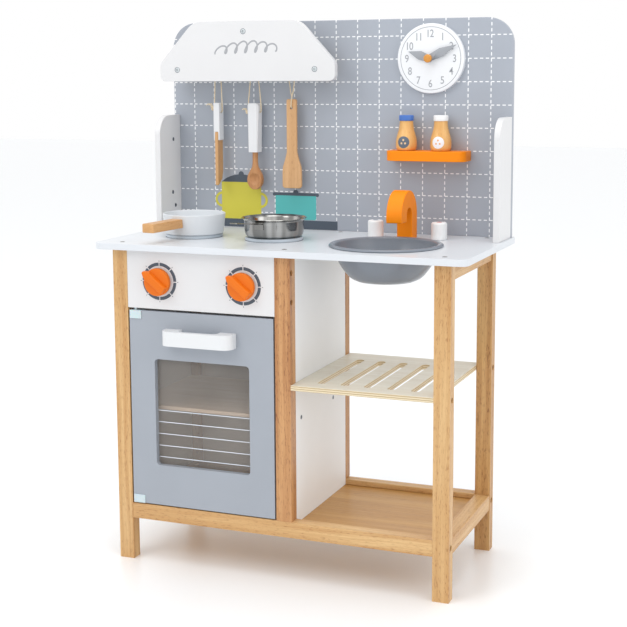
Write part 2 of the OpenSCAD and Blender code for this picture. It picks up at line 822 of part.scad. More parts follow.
leg_front_left();
leg_front_middle();
leg_front_right();
leg_back_left();
leg_back_middle();
leg_back_right();
rail_front();
rail_back();
side_rails();
aprons();
bottom_board();
worktop();
worktop_screws();
frame_bolts();
control_panel();
side_panel();
divider_panel();
oven_back();
oven_shelf();
panel_screws();
slatted_shelf();
backboard();
fin_left();
fin_right();
hood_board();
hood_spacers();
utensil_pegs();
spice_shelf();
clock_face();
clock_cap();
hour_hand();
minute_hand();
hob_discs();
door_panel();
door_window();
door_screws();
door_handle();
hinge_plates();
door_catch();
door_strike();
knob_left();
knob_right();
knob_spindles();
faucet();
sink_screws();
tap_cold();
tap_hot();
sink_bowl();
saucepan();
saucepan_handle();
frying_pan();
pan_handle();
pepper_shaker();
salt_shaker();
knife();
spoon();
spatula();
knife_string();
spoon_string();
spatula_string();
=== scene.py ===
"""Looks of a wooden toy kitchen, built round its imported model.

Each sub-assembly is a class that reads where its CAD nodes are, makes softer or finer
pieces for them, and dresses them. Lengths are written in millimetres and turned into
metres by mm(), and every piece is modelled in place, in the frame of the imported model.
"""

from __future__ import annotations

import logging
import math
from collections.abc import Callable, Iterable, Sequence
from dataclasses import dataclass
from enum import Enum

import bmesh
import bpy
from mathutils import Matrix, Vector


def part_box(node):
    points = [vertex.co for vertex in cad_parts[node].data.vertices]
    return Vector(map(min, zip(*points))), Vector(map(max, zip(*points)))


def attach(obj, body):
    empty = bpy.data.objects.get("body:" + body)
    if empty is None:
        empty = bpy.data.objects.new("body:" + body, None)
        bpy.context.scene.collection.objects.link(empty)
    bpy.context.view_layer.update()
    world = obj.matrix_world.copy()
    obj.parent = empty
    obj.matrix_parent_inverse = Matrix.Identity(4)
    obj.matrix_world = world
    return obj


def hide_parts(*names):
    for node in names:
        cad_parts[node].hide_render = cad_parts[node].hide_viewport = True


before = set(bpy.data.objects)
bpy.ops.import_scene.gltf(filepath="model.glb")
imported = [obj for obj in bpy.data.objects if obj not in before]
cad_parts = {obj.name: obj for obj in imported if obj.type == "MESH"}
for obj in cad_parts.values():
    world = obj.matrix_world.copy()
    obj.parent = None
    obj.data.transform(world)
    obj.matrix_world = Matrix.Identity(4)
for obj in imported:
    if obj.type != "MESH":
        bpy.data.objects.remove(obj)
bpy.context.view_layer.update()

log = logging.getLogger("toy_kitchen")

MERGE = 2e-5
SLIVER = 3e-6
FLAT_ANGLE = math.radians(0.6)
ROUND_STEPS = 96
FRONT = Matrix.Rotation(math.radians(90), 4, "X")

Point2 = tuple[float, float]
Outline = Sequence[Sequence[float]]
Test = Callable[[Vector], bool]


def mm(value: float) -> float:
    """Millimetres as metres."""
    return value * 0.001


def ink(red: float, green: float, blue: float) -> tuple[float, float, float, float]:
    """A colour given as display values from 0 to 255, as the linear values a shader takes."""

    def linear(value: float) -> float:
        """One channel, from display to linear."""
        v = value / 255
        return v / 12.92 if v <= 0.04045 else ((v + 0.055) / 1.055) ** 2.4

    return (linear(red), linear(green), linear(blue), 1.0)


# ---------------------------------------------------------------- shader groups


class Tree:
    """A node tree being filled in, with short calls for adding and joining nodes."""

    def __init__(self, tree: bpy.types.NodeTree) -> None:
        """Starts on a tree, which may be a material's or a group's."""
        self.tree = tree

    def put(self, kind: str, feeds: dict[object, object] | None = None, **settings: object) -> bpy.types.Node:
        """Adds a node.

        Args:
            kind: the node's type, such as ShaderNodeMath.
            feeds: values or output sockets by input name or number.
            settings: the node's own properties.

        Returns:
            The new node.
        """
        node = self.tree.nodes.new(kind)
        for key, value in settings.items():
            setattr(node, key, value)
        for name, value in (feeds or {}).items():
            if isinstance(value, bpy.types.NodeSocket):
                self.tree.links.new(value, node.inputs[name])
            else:
                node.inputs[name].default_value = value
        return node

    def math(self, operation: str, *values: object, clamp: bool = False) -> bpy.types.NodeSocket:
        """A Math node on one to three values or sockets; returns its output."""
        feeds = dict(enumerate(values))
        return self.put("ShaderNodeMath", feeds, operation=operation, use_clamp=clamp).outputs[0]

    def vector(self, operation: str, *values: object) -> bpy.types.NodeSocket:
        """A Vector Math node on values or sockets; returns its vector output."""
        return self.put("ShaderNodeVectorMath", dict(enumerate(values)), operation=operation).outputs[0]

    def blend(self, mask: object, low: object, high: object) -> bpy.types.NodeSocket:
        """A colour that goes from low to high as the mask goes from 0 to 1."""
        feeds = {0: mask, 6: low, 7: high}
        return self.put("ShaderNodeMix", feeds, data_type="RGBA", clamp_factor=True).outputs[2]

    def ramp(self, value: object, start: float, end: float, low: float, high: float) -> bpy.types.NodeSocket:
        """A value taken smoothly from start..end to low..high."""
        feeds = {0: value, 1: start, 2: end, 3: low, 4: high}
        return self.put("ShaderNodeMapRange", feeds, interpolation_type="SMOOTHSTEP").outputs[0]

    def noise(self, place: object, scale: float, detail: float = 2.0, rough: float = 0.5) -> bpy.types.NodeSocket:
        """The value of a Noise texture at a place."""
        feeds = {"Vector": place, "Scale": scale, "Detail": detail, "Roughness": rough}
        return self.put("ShaderNodeTexNoise", feeds).outputs[0]


def make_group(
    name: str,
    inputs: Sequence[tuple[str, str, object]],
    outputs: Sequence[tuple[str, str]],
    fill: Callable[[Tree, bpy.types.Node], dict[str, bpy.types.NodeSocket]],
) -> bpy.types.NodeTree:
    """A shader node group, made once and found by name after that.

    Args:
        name: the group's name.
        inputs: (name, socket type, default) of each input.
        outputs: (name, socket type) of each output.
        fill: adds the nodes and returns the socket for each output.

    Returns:
        The group.
    """
    found = bpy.data.node_groups.get(name)
    if found:
        return found
    group = bpy.data.node_groups.new(name, "ShaderNodeTree")
    for label, kind, default in inputs:
        socket = group.interface.new_socket(name=label, in_out="INPUT", socket_type=kind)
        if default is not None:
            socket.default_value = default
    for label, kind in outputs:
        group.interface.new_socket(name=label, in_out="OUTPUT", socket_type=kind)
    tree = Tree(group)
    ends = fill(tree, tree.put("NodeGroupInput"))
    tree.put("NodeGroupOutput", dict(ends))
    return group


COLOUR, VALUE, VECTOR = "NodeSocketColor", "NodeSocketFloat", "NodeSocketVector"


def fill_grain(tree: Tree, given: bpy.types.Node) -> dict[str, bpy.types.NodeSocket]:
    """Wood grain along Z: broad bands, fine streaks and short dark pores."""
    place = given.outputs["Place"]
    bend = tree.noise(tree.vector("MULTIPLY", place, (9, 9, 2.2)), 1, 2)
    drift = tree.vector("SCALE", (0.02, 0.013, 0.0))
    tree.tree.links.new(tree.math("SUBTRACT", bend, 0.5), drift.node.inputs["Scale"])
    curved = tree.vector("ADD", place, drift)
    bands = tree.noise(tree.vector("MULTIPLY", curved, (95, 95, 2.6)), 1, 3, 0.55)
    streaks = tree.noise(tree.vector("MULTIPLY", curved, (640, 640, 11)), 1, 3, 0.6)
    pores = tree.noise(tree.vector("MULTIPLY", curved, (720, 720, 105)), 1, 2, 0.6)
    tone = tree.noise(tree.vector("MULTIPLY", place, (5, 5, 5)), 1, 1)
    dark = tree.math("MULTIPLY", tree.ramp(pores, 0.55, 0.67, 0, 1), tree.ramp(bands, 0.38, 0.60, 0.45, 1))
    base = tree.blend(tree.ramp(bands, 0.32, 0.68, 0, 1), given.outputs["Light"], given.outputs["Dark"])
    fine = tree.blend(tree.ramp(streaks, 0.38, 0.70, 0, 0.55), base, given.outputs["Dark"])
    toned = tree.blend(tree.ramp(tone, 0.35, 0.65, 0, 0.35), fine, given.outputs["Tint"])
    amount = tree.math("MULTIPLY", dark, given.outputs["Pores"], clamp=True)
    height = tree.math("SUBTRACT", tree.math("MULTIPLY", streaks, 0.4), dark)
    return {
        "Color": tree.blend(amount, toned, given.outputs["Pore colour"]),
        "Roughness": tree.ramp(streaks, 0.3, 0.7, 0.40, 0.54),
        "Height": height,
    }


def grain_group() -> bpy.types.NodeTree:
    """The wood grain that every wooden finish uses."""
    ins = [
        ("Place", VECTOR, None),
        ("Light", COLOUR, (0.8, 0.6, 0.4, 1)),
        ("Dark", COLOUR, (0.6, 0.4, 0.2, 1)),
        ("Tint", COLOUR, (0.7, 0.5, 0.3, 1)),
        ("Pore colour", COLOUR, (0.4, 0.2, 0.1, 1)),
        ("Pores", VALUE, 0.5),
    ]
    return make_group("wood_grain", ins, [("Color", COLOUR), ("Roughness", VALUE), ("Height", VALUE)], fill_grain)


def fill_mottle(tree: Tree, given: bpy.types.Node) -> dict[str, bpy.types.NodeSocket]:
    """Sprayed or moulded skin: a faint drift of tone, fine stipple and uneven gloss."""
    place = given.outputs["Place"]
    drift = tree.noise(place, 14, 2)
    stipple = tree.noise(place, 950, 2)
    cloud = tree.ramp(drift, 0.3, 0.7, -0.5, 0.5)
    shade = tree.math("MULTIPLY_ADD", cloud, given.outputs["Amount"], 1.0)
    toned = tree.put("ShaderNodeVectorMath", {0: given.outputs["Base"], "Scale": shade}, operation="SCALE").outputs[0]
    gloss = tree.math("MULTIPLY_ADD", tree.math("SUBTRACT", stipple, 0.5), 0.14, given.outputs["Gloss"])
    return {"Color": toned, "Roughness": gloss, "Height": stipple}


def mottle_group() -> bpy.types.NodeTree:
    """The uneven skin that paints and plastics share."""
    ins = [
        ("Place", VECTOR, None),
        ("Base", COLOUR, (0.8, 0.8, 0.8, 1)),
        ("Amount", VALUE, 0.06),
        ("Gloss", VALUE, 0.4),
    ]
    return make_group("mottle", ins, [("Color", COLOUR), ("Roughness", VALUE), ("Height", VALUE)], fill_mottle)


def fill_spot(tree: Tree, given: bpy.types.Node) -> dict[str, bpy.types.NodeSocket]:
    """A round printed mark on the front of a piece, seen along Y."""
    away = tree.vector("SUBTRACT", given.outputs["Place"], given.outputs["Centre"])
    parts = tree.put("ShaderNodeSeparateXYZ", {0: away}).outputs
    flat = tree.put("ShaderNodeCombineXYZ", {"X": parts[0], "Z": parts[2]}).outputs[0]
    reach = tree.put("ShaderNodeVectorMath", {0: flat}, operation="LENGTH").outputs["Value"]
    inside = tree.math("LESS_THAN", reach, given.outputs["Radius"])
    return {"Mask": tree.math("MULTIPLY", inside, tree.math("LESS_THAN", parts[1], 0.0))}


def spot_group() -> bpy.types.NodeTree:
    """The round printed mark that labels are made from."""
    ins = [("Place", VECTOR, None), ("Centre", VECTOR, None), ("Radius", VALUE, 0.01)]
    return make_group("printed_spot", ins, [("Mask", VALUE)], fill_spot)


# ---------------------------------------------------------------- finishes


class Grain(Enum):
    """Which way the grain of a wooden piece runs, as the turn that brings it to Z."""

    ALONG_X = (0.0, math.radians(90), 0.0)
    ALONG_Y = (math.radians(90), 0.0, 0.0)
    ALONG_Z = (0.0, 0.0, 0.0)


@dataclass(frozen=True)
class Finish:
    """A named surface. Each kind of finish fills in its own nodes."""

    name: str

    def material(self) -> bpy.types.Material:
        """The finish as a material, made once and reused after that."""
        found = bpy.data.materials.get(self.name)
        if found:
            return found
        made = bpy.data.materials.new(self.name)
        made.use_nodes = True
        made.node_tree.nodes.clear()
        tree = Tree(made.node_tree)
        shader = tree.put("ShaderNodeBsdfPrincipled")
        tree.put("ShaderNodeOutputMaterial", {"Surface": shader.outputs[0]})
        place = tree.put("ShaderNodeTexCoord").outputs["Object"]
        self.fill(tree, shader, place)
        return made

    def fill(self, tree: Tree, shader: bpy.types.Node, place: bpy.types.NodeSocket) -> None:
        """Adds the nodes between the place on the surface and the shader."""
        raise NotImplementedError

    def relief(self, tree: Tree, shader: bpy.types.Node, height: object, depth: float, strength: float) -> None:
        """Turns a height into the shader's normal; depth is in millimetres."""
        feeds = {"Height": height, "Distance": mm(depth), "Strength": strength}
        bump = tree.put("ShaderNodeBump", feeds)
        tree.tree.links.new(bump.outputs[0], shader.inputs["Normal"])


@dataclass(frozen=True)
class Wood(Finish):
    """Lacquered wood with its grain along one axis."""

    light: tuple[float, float, float]
    dark: tuple[float, float, float]
    tint: tuple[float, float, float]
    pore: tuple[float, float, float]
    pores: float = 0.55
    run: Grain = Grain.ALONG_Z
    fineness: float = 1.0
    coat: float = 0.15

    def fill(self, tree: Tree, shader: bpy.types.Node, place: bpy.types.NodeSocket) -> None:
        """Grain colour, gloss and pores under a thin coat."""
        turn = {"Vector": place, "Rotation": self.run.value, "Scale": (self.fineness,) * 3}
        turned = tree.put("ShaderNodeMapping", turn).outputs[0]
        feeds = {
            "Place": turned,
            "Light": ink(*self.light),
            "Dark": ink(*self.dark),
            "Tint": ink(*self.tint),
            "Pore colour": ink(*self.pore),
            "Pores": self.pores,
        }
        grain = tree.put("ShaderNodeGroup", node_tree=grain_group())
        for name, value in feeds.items():
            if isinstance(value, bpy.types.NodeSocket):
                tree.tree.links.new(value, grain.inputs[name])
            else:
                grain.inputs[name].default_value = value
        tree.tree.links.new(grain.outputs["Color"], shader.inputs["Base Color"])
        tree.tree.links.new(grain.outputs["Roughness"], shader.inputs["Roughness"])
        shader.inputs["Coat Weight"].default_value = self.coat
        shader.inputs["Coat Roughness"].default_value = 0.25
        self.relief(tree, shader, grain.outputs["Height"], 0.12, 0.35)


@dataclass(frozen=True)
class Skin(Finish):
    """Paint or moulded plastic with a slightly uneven skin."""

    colour: tuple[float, float, float]
    gloss: float = 0.4
    drift: float = 0.03
    coat: float = 0.0
    stipple: float = 0.12
    subsurface: float = 0.0
    shine: float = 0.5

    def base(self, tree: Tree, place: bpy.types.NodeSocket) -> bpy.types.NodeSocket | tuple[float, ...]:
        """The colour under the skin; prints add to it."""
        return ink(*self.colour)

    def fill(self, tree: Tree, shader: bpy.types.Node, place: bpy.types.NodeSocket) -> None:
        """Mottled colour, uneven gloss and a fine stipple."""
        skin = tree.put("ShaderNodeGroup", node_tree=mottle_group())
        tree.tree.links.new(place, skin.inputs["Place"])
        under = self.base(tree, place)
        if isinstance(under, bpy.types.NodeSocket):
            tree.tree.links.new(under, skin.inputs["Base"])
        else:
            skin.inputs["Base"].default_value = under
        skin.inputs["Amount"].default_value = self.drift
        skin.inputs["Gloss"].default_value = self.gloss
        tree.tree.links.new(skin.outputs["Color"], shader.inputs["Base Color"])
        tree.tree.links.new(skin.outputs["Roughness"], shader.inputs["Roughness"])
        shader.inputs["Coat Weight"].default_value = self.coat
        shader.inputs["Coat Roughness"].default_value = 0.12
        shader.inputs["Subsurface Weight"].default_value = self.subsurface
        shader.inputs["Subsurface Scale"].default_value = mm(3)
        shader.inputs["Specular IOR Level"].default_value = self.shine
        self.relief(tree, shader, skin.outputs["Height"], 0.05, self.stipple)


@dataclass(frozen=True)
class DashedTiles(Skin):
    """Board print: a square grid of white dashed lines on a plain ground."""

    line: tuple[float, float, float] = (246, 247, 248)
    pitch_x: float = 37.0
    pitch_z: float = 36.35
    origin_x: float = 2.0
    origin_z: float = 572.6
    width: float = 1.6
    period: float = 9.25
    filled: float = 0.58

    def lines(self, tree: Tree, across: object, along: object, origin: Point2, pitch: float) -> object:
        """The mask of one family of dashed lines.

        Args:
            tree: the tree to add to.
            across: the coordinate that counts the lines.
            along: the coordinate that the dashes follow.
            origin: where a line and a dash start, in millimetres.
            pitch: the distance between lines, in millimetres.

        Returns:
            The mask's socket.
        """
        shifted = tree.math("SUBTRACT", across, mm(origin[0] - pitch / 2))
        cell = tree.math("FLOORED_MODULO", shifted, mm(pitch))
        off = tree.math("ABSOLUTE", tree.math("SUBTRACT", cell, mm(pitch / 2)))
        on_line = tree.math("LESS_THAN", off, mm(self.width / 2))
        started = tree.math("SUBTRACT", along, mm(origin[1]))
        step = tree.math("FLOORED_MODULO", started, mm(self.period))
        return tree.math("MULTIPLY", on_line, tree.math("LESS_THAN", step, mm(self.period * self.filled)))

    def base(self, tree: Tree, place: bpy.types.NodeSocket) -> bpy.types.NodeSocket:
        """The ground with the lines on its front face."""
        parts = tree.put("ShaderNodeSeparateXYZ", {0: place}).outputs
        upright = self.lines(tree, parts[0], parts[2], (self.origin_x, self.origin_z), self.pitch_x)
        level = self.lines(tree, parts[2], parts[0], (self.origin_z, self.origin_x), self.pitch_z)
        both = tree.math("MAXIMUM", upright, level)
        front = tree.math("LESS_THAN", parts[1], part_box("backboard")[0].y + mm(1))
        return tree.blend(tree.math("MULTIPLY", both, front), ink(*self.colour), ink(*self.line))


@dataclass(frozen=True)
class Labelled(Wood):
    """Wood with a round label of three dots on its front."""

    label: tuple[float, float, float] = (90, 100, 112)
    dots: tuple[float, float, float] = (235, 200, 150)
    centre: tuple[float, float, float] = (0.0, 0.0, 0.0)
    radius: float = 9.4

    def fill(self, tree: Tree, shader: bpy.types.Node, place: bpy.types.NodeSocket) -> None:
        """The wood, with the label over its colour."""
        super().fill(tree, shader, place)
        under = shader.inputs["Base Color"].links[0].from_socket
        printed = self.spot(tree, place, (0.0, 0.0), self.radius)
        marked = tree.blend(printed, under, ink(*self.label))
        for step in range(3):
            turn = math.radians(90 + 120 * step)
            spot = self.spot(tree, place, (3.5 * math.cos(turn), 3.5 * math.sin(turn)), 1.6)
            marked = tree.blend(spot, marked, ink(*self.dots))
        tree.tree.links.new(marked, shader.inputs["Base Color"])

    def spot(self, tree: Tree, place: object, shift: Point2, radius: float) -> bpy.types.NodeSocket:
        """The mask of one printed spot, shifted in X and Z from the label's centre."""
        middle = Vector(self.centre) + Vector((mm(shift[0]), 0, mm(shift[1])))
        spot = tree.put("ShaderNodeGroup", node_tree=spot_group())
        tree.tree.links.new(place, spot.inputs["Place"])
        spot.inputs["Centre"].default_value = middle
        spot.inputs["Radius"].default_value = mm(radius)
        return spot.outputs["Mask"]


@dataclass(frozen=True)
class Plywood(Wood):
    """Pale ply: plain faces and, on the sawn edges, dark and light layers."""

    layers: int = 5
    low: float = 298.0
    thick: float = 8.0

    def fill(self, tree: Tree, shader: bpy.types.Node, place: bpy.types.NodeSocket) -> None:
        """The face grain, with the layers where the surface is upright."""
        super().fill(tree, shader, place)
        under = shader.inputs["Base Color"].links[0].from_socket
        height = tree.put("ShaderNodeSeparateXYZ", {0: place}).outputs[2]
        layer = tree.math("DIVIDE", tree.math("SUBTRACT", height, mm(self.low)), mm(self.thick / self.layers))
        wobble = tree.math("MULTIPLY", tree.math("SUBTRACT", tree.noise(place, 160, 2), 0.5), 0.5)
        odd = tree.math("FLOORED_MODULO", tree.math("ADD", layer, wobble), 2.0)
        stripes = tree.ramp(tree.math("ABSOLUTE", tree.math("SUBTRACT", odd, 1.0)), 0.35, 0.65, 0, 1)
        edge = tree.blend(stripes, ink(231, 217, 186), ink(189, 166, 128))
        facing = tree.put("ShaderNodeNewGeometry").outputs["Normal"]
        level = tree.math("ABSOLUTE", tree.put("ShaderNodeSeparateXYZ", {0: facing}).outputs[2])
        sawn = tree.math("LESS_THAN", level, 0.6)
        tree.tree.links.new(tree.blend(sawn, under, edge), shader.inputs["Base Color"])


@dataclass(frozen=True)
class Metal(Finish):
    """Plated or polished metal with faint turning lines about an axis."""

    colour: tuple[float, float, float]
    gloss: float = 0.25
    lines: float = 900.0
    centre: tuple[float, float, float] = (0.0, 0.0, 0.0)
    # How far painted reflection streaks lighten and darken the colour in sectors round the axis; 0 paints none.
    reflection_streaks: float = 0.0

    def fill(self, tree: Tree, shader: bpy.types.Node, place: bpy.types.NodeSocket) -> None:
        """Rings of slightly different gloss round the centre, broad sectors of lighter and darker colour painted as
        reflection streaks, and a little grime.
        """
        about = tree.vector("SUBTRACT", place, self.centre)
        parts = tree.put("ShaderNodeSeparateXYZ", {0: about}).outputs
        flat = tree.put("ShaderNodeCombineXYZ", {"X": parts[0], "Y": parts[1]}).outputs[0]
        radius = tree.put("ShaderNodeVectorMath", {0: flat}, operation="LENGTH").outputs["Value"]
        ring = tree.put("ShaderNodeCombineXYZ", {"X": radius, "Z": parts[2]}).outputs[0]
        lines = tree.noise(ring, self.lines, 3, 0.7)
        smear = tree.noise(place, 60, 2)
        uneven = tree.math("MULTIPLY_ADD", tree.math("SUBTRACT", lines, 0.5), 0.16, self.gloss)
        smeared = tree.math("MULTIPLY_ADD", tree.math("SUBTRACT", smear, 0.5), 0.08, uneven)
        aim = tree.vector("NORMALIZE", flat)
        # Painted reflection: broad lighter and darker streaks by angle round the axis.
        painted_streak = tree.ramp(tree.noise(aim, 2.4, 1), 0.40, 0.60, 1.0 - self.reflection_streaks, 1.0 + self.reflection_streaks)
        tint = tree.math("MULTIPLY", tree.ramp(lines, 0.3, 0.7, 0.92, 1.0), painted_streak)
        shade = tree.put("ShaderNodeVectorMath", {0: ink(*self.colour)[:3], "Scale": tint}, operation="SCALE")
        tree.tree.links.new(shade.outputs[0], shader.inputs["Base Color"])
        tree.tree.links.new(smeared, shader.inputs["Roughness"])
        shader.inputs["Metallic"].default_value = 1.0
        self.relief(tree, shader, lines, 0.02, 0.15)


@dataclass(frozen=True)
class Smoked(Finish):
    """Clear plastic sheet with a grey-brown tint."""

    colour: tuple[float, float, float]
    cover: float = 0.45

    def fill(self, tree: Tree, shader: bpy.types.Node, place: bpy.types.NodeSocket) -> None:
        """A tinted see-through sheet, cloudier in places."""
        haze = tree.noise(place, 9, 2)
        tone = tree.ramp(haze, 0.3, 0.7, 0.92, 1.08)
        base = tree.put("ShaderNodeVectorMath", {0: ink(*self.colour)[:3], "Scale": tone}, operation="SCALE")
        tree.tree.links.new(base.outputs[0], shader.inputs["Base Color"])
        tree.tree.links.new(tree.ramp(haze, 0.3, 0.7, self.cover - 0.02, self.cover + 0.02), shader.inputs["Alpha"])
        tree.tree.links.new(tree.ramp(haze, 0.3, 0.7, 0.10, 0.16), shader.inputs["Roughness"])


@dataclass(frozen=True)
class Twine(Finish):
    """Twisted natural string."""

    colour: tuple[float, float, float]
    shade: tuple[float, float, float]

    def fill(self, tree: Tree, shader: bpy.types.Node, place: bpy.types.NodeSocket) -> None:
        """Fibres that vary between two straw colours."""
        fibres = tree.noise(tree.vector("MULTIPLY", place, (2600, 2600, 700)), 1, 3, 0.6)
        tone = tree.blend(tree.ramp(fibres, 0.35, 0.65, 0, 1), ink(*self.shade), ink(*self.colour))
        tree.tree.links.new(tone, shader.inputs["Base Color"])
        tree.tree.links.new(tree.ramp(fibres, 0.3, 0.7, 0.75, 0.95), shader.inputs["Roughness"])
        shader.inputs["Sheen Weight"].default_value = 0.3
        self.relief(tree, shader, fibres, 0.1, 0.5)


HONEY = {"light": (221, 184, 130), "dark": (194, 146, 90), "tint": (206, 162, 106), "pore": (160, 108, 58)}
AMBER = {"light": (208, 158, 106), "dark": (174, 120, 72), "tint": (188, 132, 80), "pore": (128, 76, 42)}
LEG_WOOD = Wood("frame_wood_upright", **HONEY, pores=0.8)
RAIL_WOOD = Wood("frame_wood_level", **HONEY, pores=0.7, run=Grain.ALONG_X)
REAR_WOOD = Wood("frame_wood_rear", (212, 170, 112), (178, 128, 74), (192, 144, 88), (124, 76, 38), 0.8)
SIDE_WOOD = Wood("frame_wood_deep", **HONEY, pores=0.7, run=Grain.ALONG_Y)
MIDDLE_WOOD = Wood("frame_wood_warm", **AMBER, pores=0.9)
BACK_WOOD = Wood("frame_wood_back", (200, 150, 92), (166, 114, 62), (180, 128, 74), (116, 70, 34), 0.9)
BASE_WOOD = Wood(
    "base_board_wood", (206, 160, 96), (188, 140, 78), (196, 148, 84), (150, 104, 54), 0.3, Grain.ALONG_X, 0.7
)
OVEN_WOOD = Wood(
    "oven_board_wood", (250, 224, 198), (236, 206, 178), (242, 214, 188), (182, 152, 124), 0.2, Grain.ALONG_X, 0.8
)
BIRCH = Plywood(
    "birch_ply_wood", (230, 226, 212), (219, 211, 192), (226, 219, 202), (198, 184, 156), 0.2, Grain.ALONG_X, 0.8
)
GRIP_WOOD = Wood("pot_handle_wood", (216, 170, 116), (196, 144, 90), (204, 154, 98), (160, 108, 62), 0.4,
                 Grain.ALONG_Y)
BLADE_WOOD = Wood("blade_wood", (220, 176, 124), (198, 148, 96), (208, 160, 108), (164, 112, 66), 0.4)
SPOON_WOOD = Wood("spoon_head_wood", (200, 146, 96), (176, 120, 72), (188, 132, 82), (140, 88, 48), 0.35)
SPATULA_WOOD = Wood("spatula_wood", (222, 178, 130), (204, 156, 106), (212, 166, 116), (168, 116, 72), 0.4)
PEG_WOOD = Wood("peg_wood", (228, 196, 146), (210, 170, 116), (220, 184, 130), (176, 130, 84), 0.3, Grain.ALONG_Y)
CAP_WOOD = Wood("cap_wood_round", (226, 160, 70), (206, 136, 50), (216, 148, 58), (160, 96, 34), 0.4, Grain.ALONG_Y)
SHAKER_WOOD = {"light": (235, 186, 118), "dark": (218, 162, 92), "tint": (226, 174, 104), "pore": (190, 134, 72)}

WHITE = Skin("white_lacquer", (221, 221, 222), 0.34, 0.015, 0.15)
CLOCK_WHITE = Skin("clock_white_lacquer", (234, 236, 239), 0.36, 0.01, 0.1)
TOP_WHITE = Skin("worktop_lacquer", (217, 221, 226), 0.34, 0.015, 0.1)
# A brighter copy of the white paint: painted light that lifts the side, divider and oven back panels, which sit in
# shade.
LIT_INNER_WHITE = Skin("inner_white_painted_light", (238, 239, 240), 0.5, 0.02)
DOOR_GREY = Skin("door_grey_paint", (159, 165, 174), 0.38, 0.03, 0.1)
BOARD = DashedTiles("dashed_board_print", (165, 171, 181), 0.42, 0.04)
ORANGE = Skin("orange_paint_gloss", (252, 142, 10), 0.42, 0.04, 0.0, shine=0.22)
KNOB_ORANGE = Skin("orange_knob_paint", (226, 113, 16), 0.45, 0.03, 0.0, shine=0.3)
SINK_GREY = Skin("sink_grey_plastic", (124, 131, 141), 0.3, 0.03, 0.2)
HOB_GREY = Skin("hob_pale_paint", (186, 196, 205), 0.4, 0.03, 0.1)
TAP_WHITE = Skin("tap_cream_paint", (236, 237, 238), 0.5, 0.03, 0.0, shine=0.3)
ENAMEL = Skin("saucepan_white", (214, 218, 222), 0.32, 0.02, 0.2)
HANDLE_WHITE = Skin("door_handle_white", (224, 226, 228), 0.36, 0.01, 0.15)
GRIP_WHITE = Skin("utensil_white_paint", (228, 229, 231), 0.4, 0.02, 0.1)
HINGE_PALE = Skin("hinge_pale_plastic", (200, 216, 220), 0.3, 0.03, 0.3, 0.1, 0.15)
CATCH = Skin("catch_plastic_white", (226, 226, 226), 0.4)
HAND_GREY = Skin("clock_hand_grey", (158, 162, 168), 0.45)
NUMERAL_GREY = Skin("numeral_grey_ink", (160, 163, 168), 0.5)
SLATE = Skin("slate_ink", (76, 86, 98), 0.45)
POT_YELLOW = Skin("yellow_pot_ink", (208, 199, 70), 0.45, 0.05)
POT_TEAL = Skin("teal_pot_ink", (86, 184, 182), 0.45, 0.04)
SCRIPT_GREY = Skin("flourish_grey_ink", (164, 166, 170), 0.5)
WINDOW_LINE = Skin("window_line_ink", (218, 224, 232), 0.5)
DOT_BLUE = Skin("cold_dot_ink", (104, 132, 154), 0.5)
DOT_RED = Skin("hot_dot_ink", (206, 112, 118), 0.5)
CAP_BLUE = Skin("pepper_cap_blue", (66, 112, 190), 0.35, 0.04, 0.2)
CAP_WHITE = Skin("salt_cap_white", (240, 240, 240), 0.35, 0.02, 0.2)
# A dark grey used only for painted shadow: the contact shadow at each hob disc's foot and the shade round each hood
# screw head.
SHADOW_LINE = Skin("painted_shadow_ring", (96, 106, 116), 0.5)
PANE = Smoked("smoked_pane", (172, 166, 160), 0.25)
ZINC = Metal("zinc_screw_metal", (120, 126, 134), 0.38)
PALE_ZINC = Metal("pale_screw_metal", (214, 220, 222), 0.5)
DARK_STEEL = Metal("dark_screw_metal", (118, 112, 106), 0.42)
BRONZE = Metal("bronze_bolt_metal", (96, 66, 42), 0.45)
BRIGHT = Metal("bright_spindle_metal", (200, 202, 205), 0.25)
HEMP = Twine("hemp_twine", (242, 228, 200), (216, 194, 156))


# ---------------------------------------------------------------- shaping


@dataclass(frozen=True)
class Place:
    """Where a CAD node or one of its solids is, as its lowest and highest corners."""

    low: Vector
    high: Vector

    @property
    def centre(self) -> Vector:
        """The middle of the box."""
        return (self.low + self.high) / 2

    @property
    def size(self) -> Vector:
        """The box's width, depth and height."""
        return self.high - self.low


def place_of(node: str) -> Place:
    """The box of a CAD node at rest."""
    return Place(*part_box(node))


def copy_of(node: str) -> bmesh.types.BMesh:
    """A merged copy of a CAD node's mesh."""
    bm = bmesh.new()
    bm.from_mesh(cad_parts[node].data)
    bmesh.ops.remove_doubles(bm, verts=bm.verts, dist=MERGE)
    return bm


def islands(bm: bmesh.types.BMesh) -> list[list[bmesh.types.BMVert]]:
    """The separate solids of a mesh, each as its vertices."""
    left, found = set(bm.verts), []
    while left:
        start = next(iter(left))
        group, ahead = {start}, [start]
        while ahead:
            for edge in ahead.pop().link_edges:
                for vert in edge.verts:
                    if vert not in group:
                        group.add(vert)
                        ahead.append(vert)
        left -= group
        found.append(list(group))
    return found


def around(verts: Iterable[bmesh.types.BMVert]) -> Place:
    """The box round some vertices."""
    points = [v.co for v in verts]
    low = Vector(min(p[i] for p in points) for i in range(3))
    high = Vector(max(p[i] for p in points) for i in range(3))
    return Place(low, high)


def solids_of(node: str) -> list[Place]:
    """The box of each solid in a CAD node, in a fixed order."""
    bm = copy_of(node)
    found = [around(group) for group in islands(bm)]
    bm.free()
    return sorted(found, key=lambda p: tuple(round(x, 4) for x in p.centre))


def sharp_runs(bm: bmesh.types.BMesh, angle: float) -> list[list[bmesh.types.BMEdge]]:
    """Sharp edges gathered into runs that join end to end."""
    left = {e for e in bm.edges if e.is_manifold and e.calc_face_angle(0) > math.radians(angle)}
    runs = []
    while left:
        ahead = [left.pop()]
        run = []
        while ahead:
            edge = ahead.pop()
            run.append(edge)
            for vert in edge.verts:
                for near in vert.link_edges:
                    if near in left:
                        left.remove(near)
                        ahead.append(near)
        runs.append(run)
    return runs


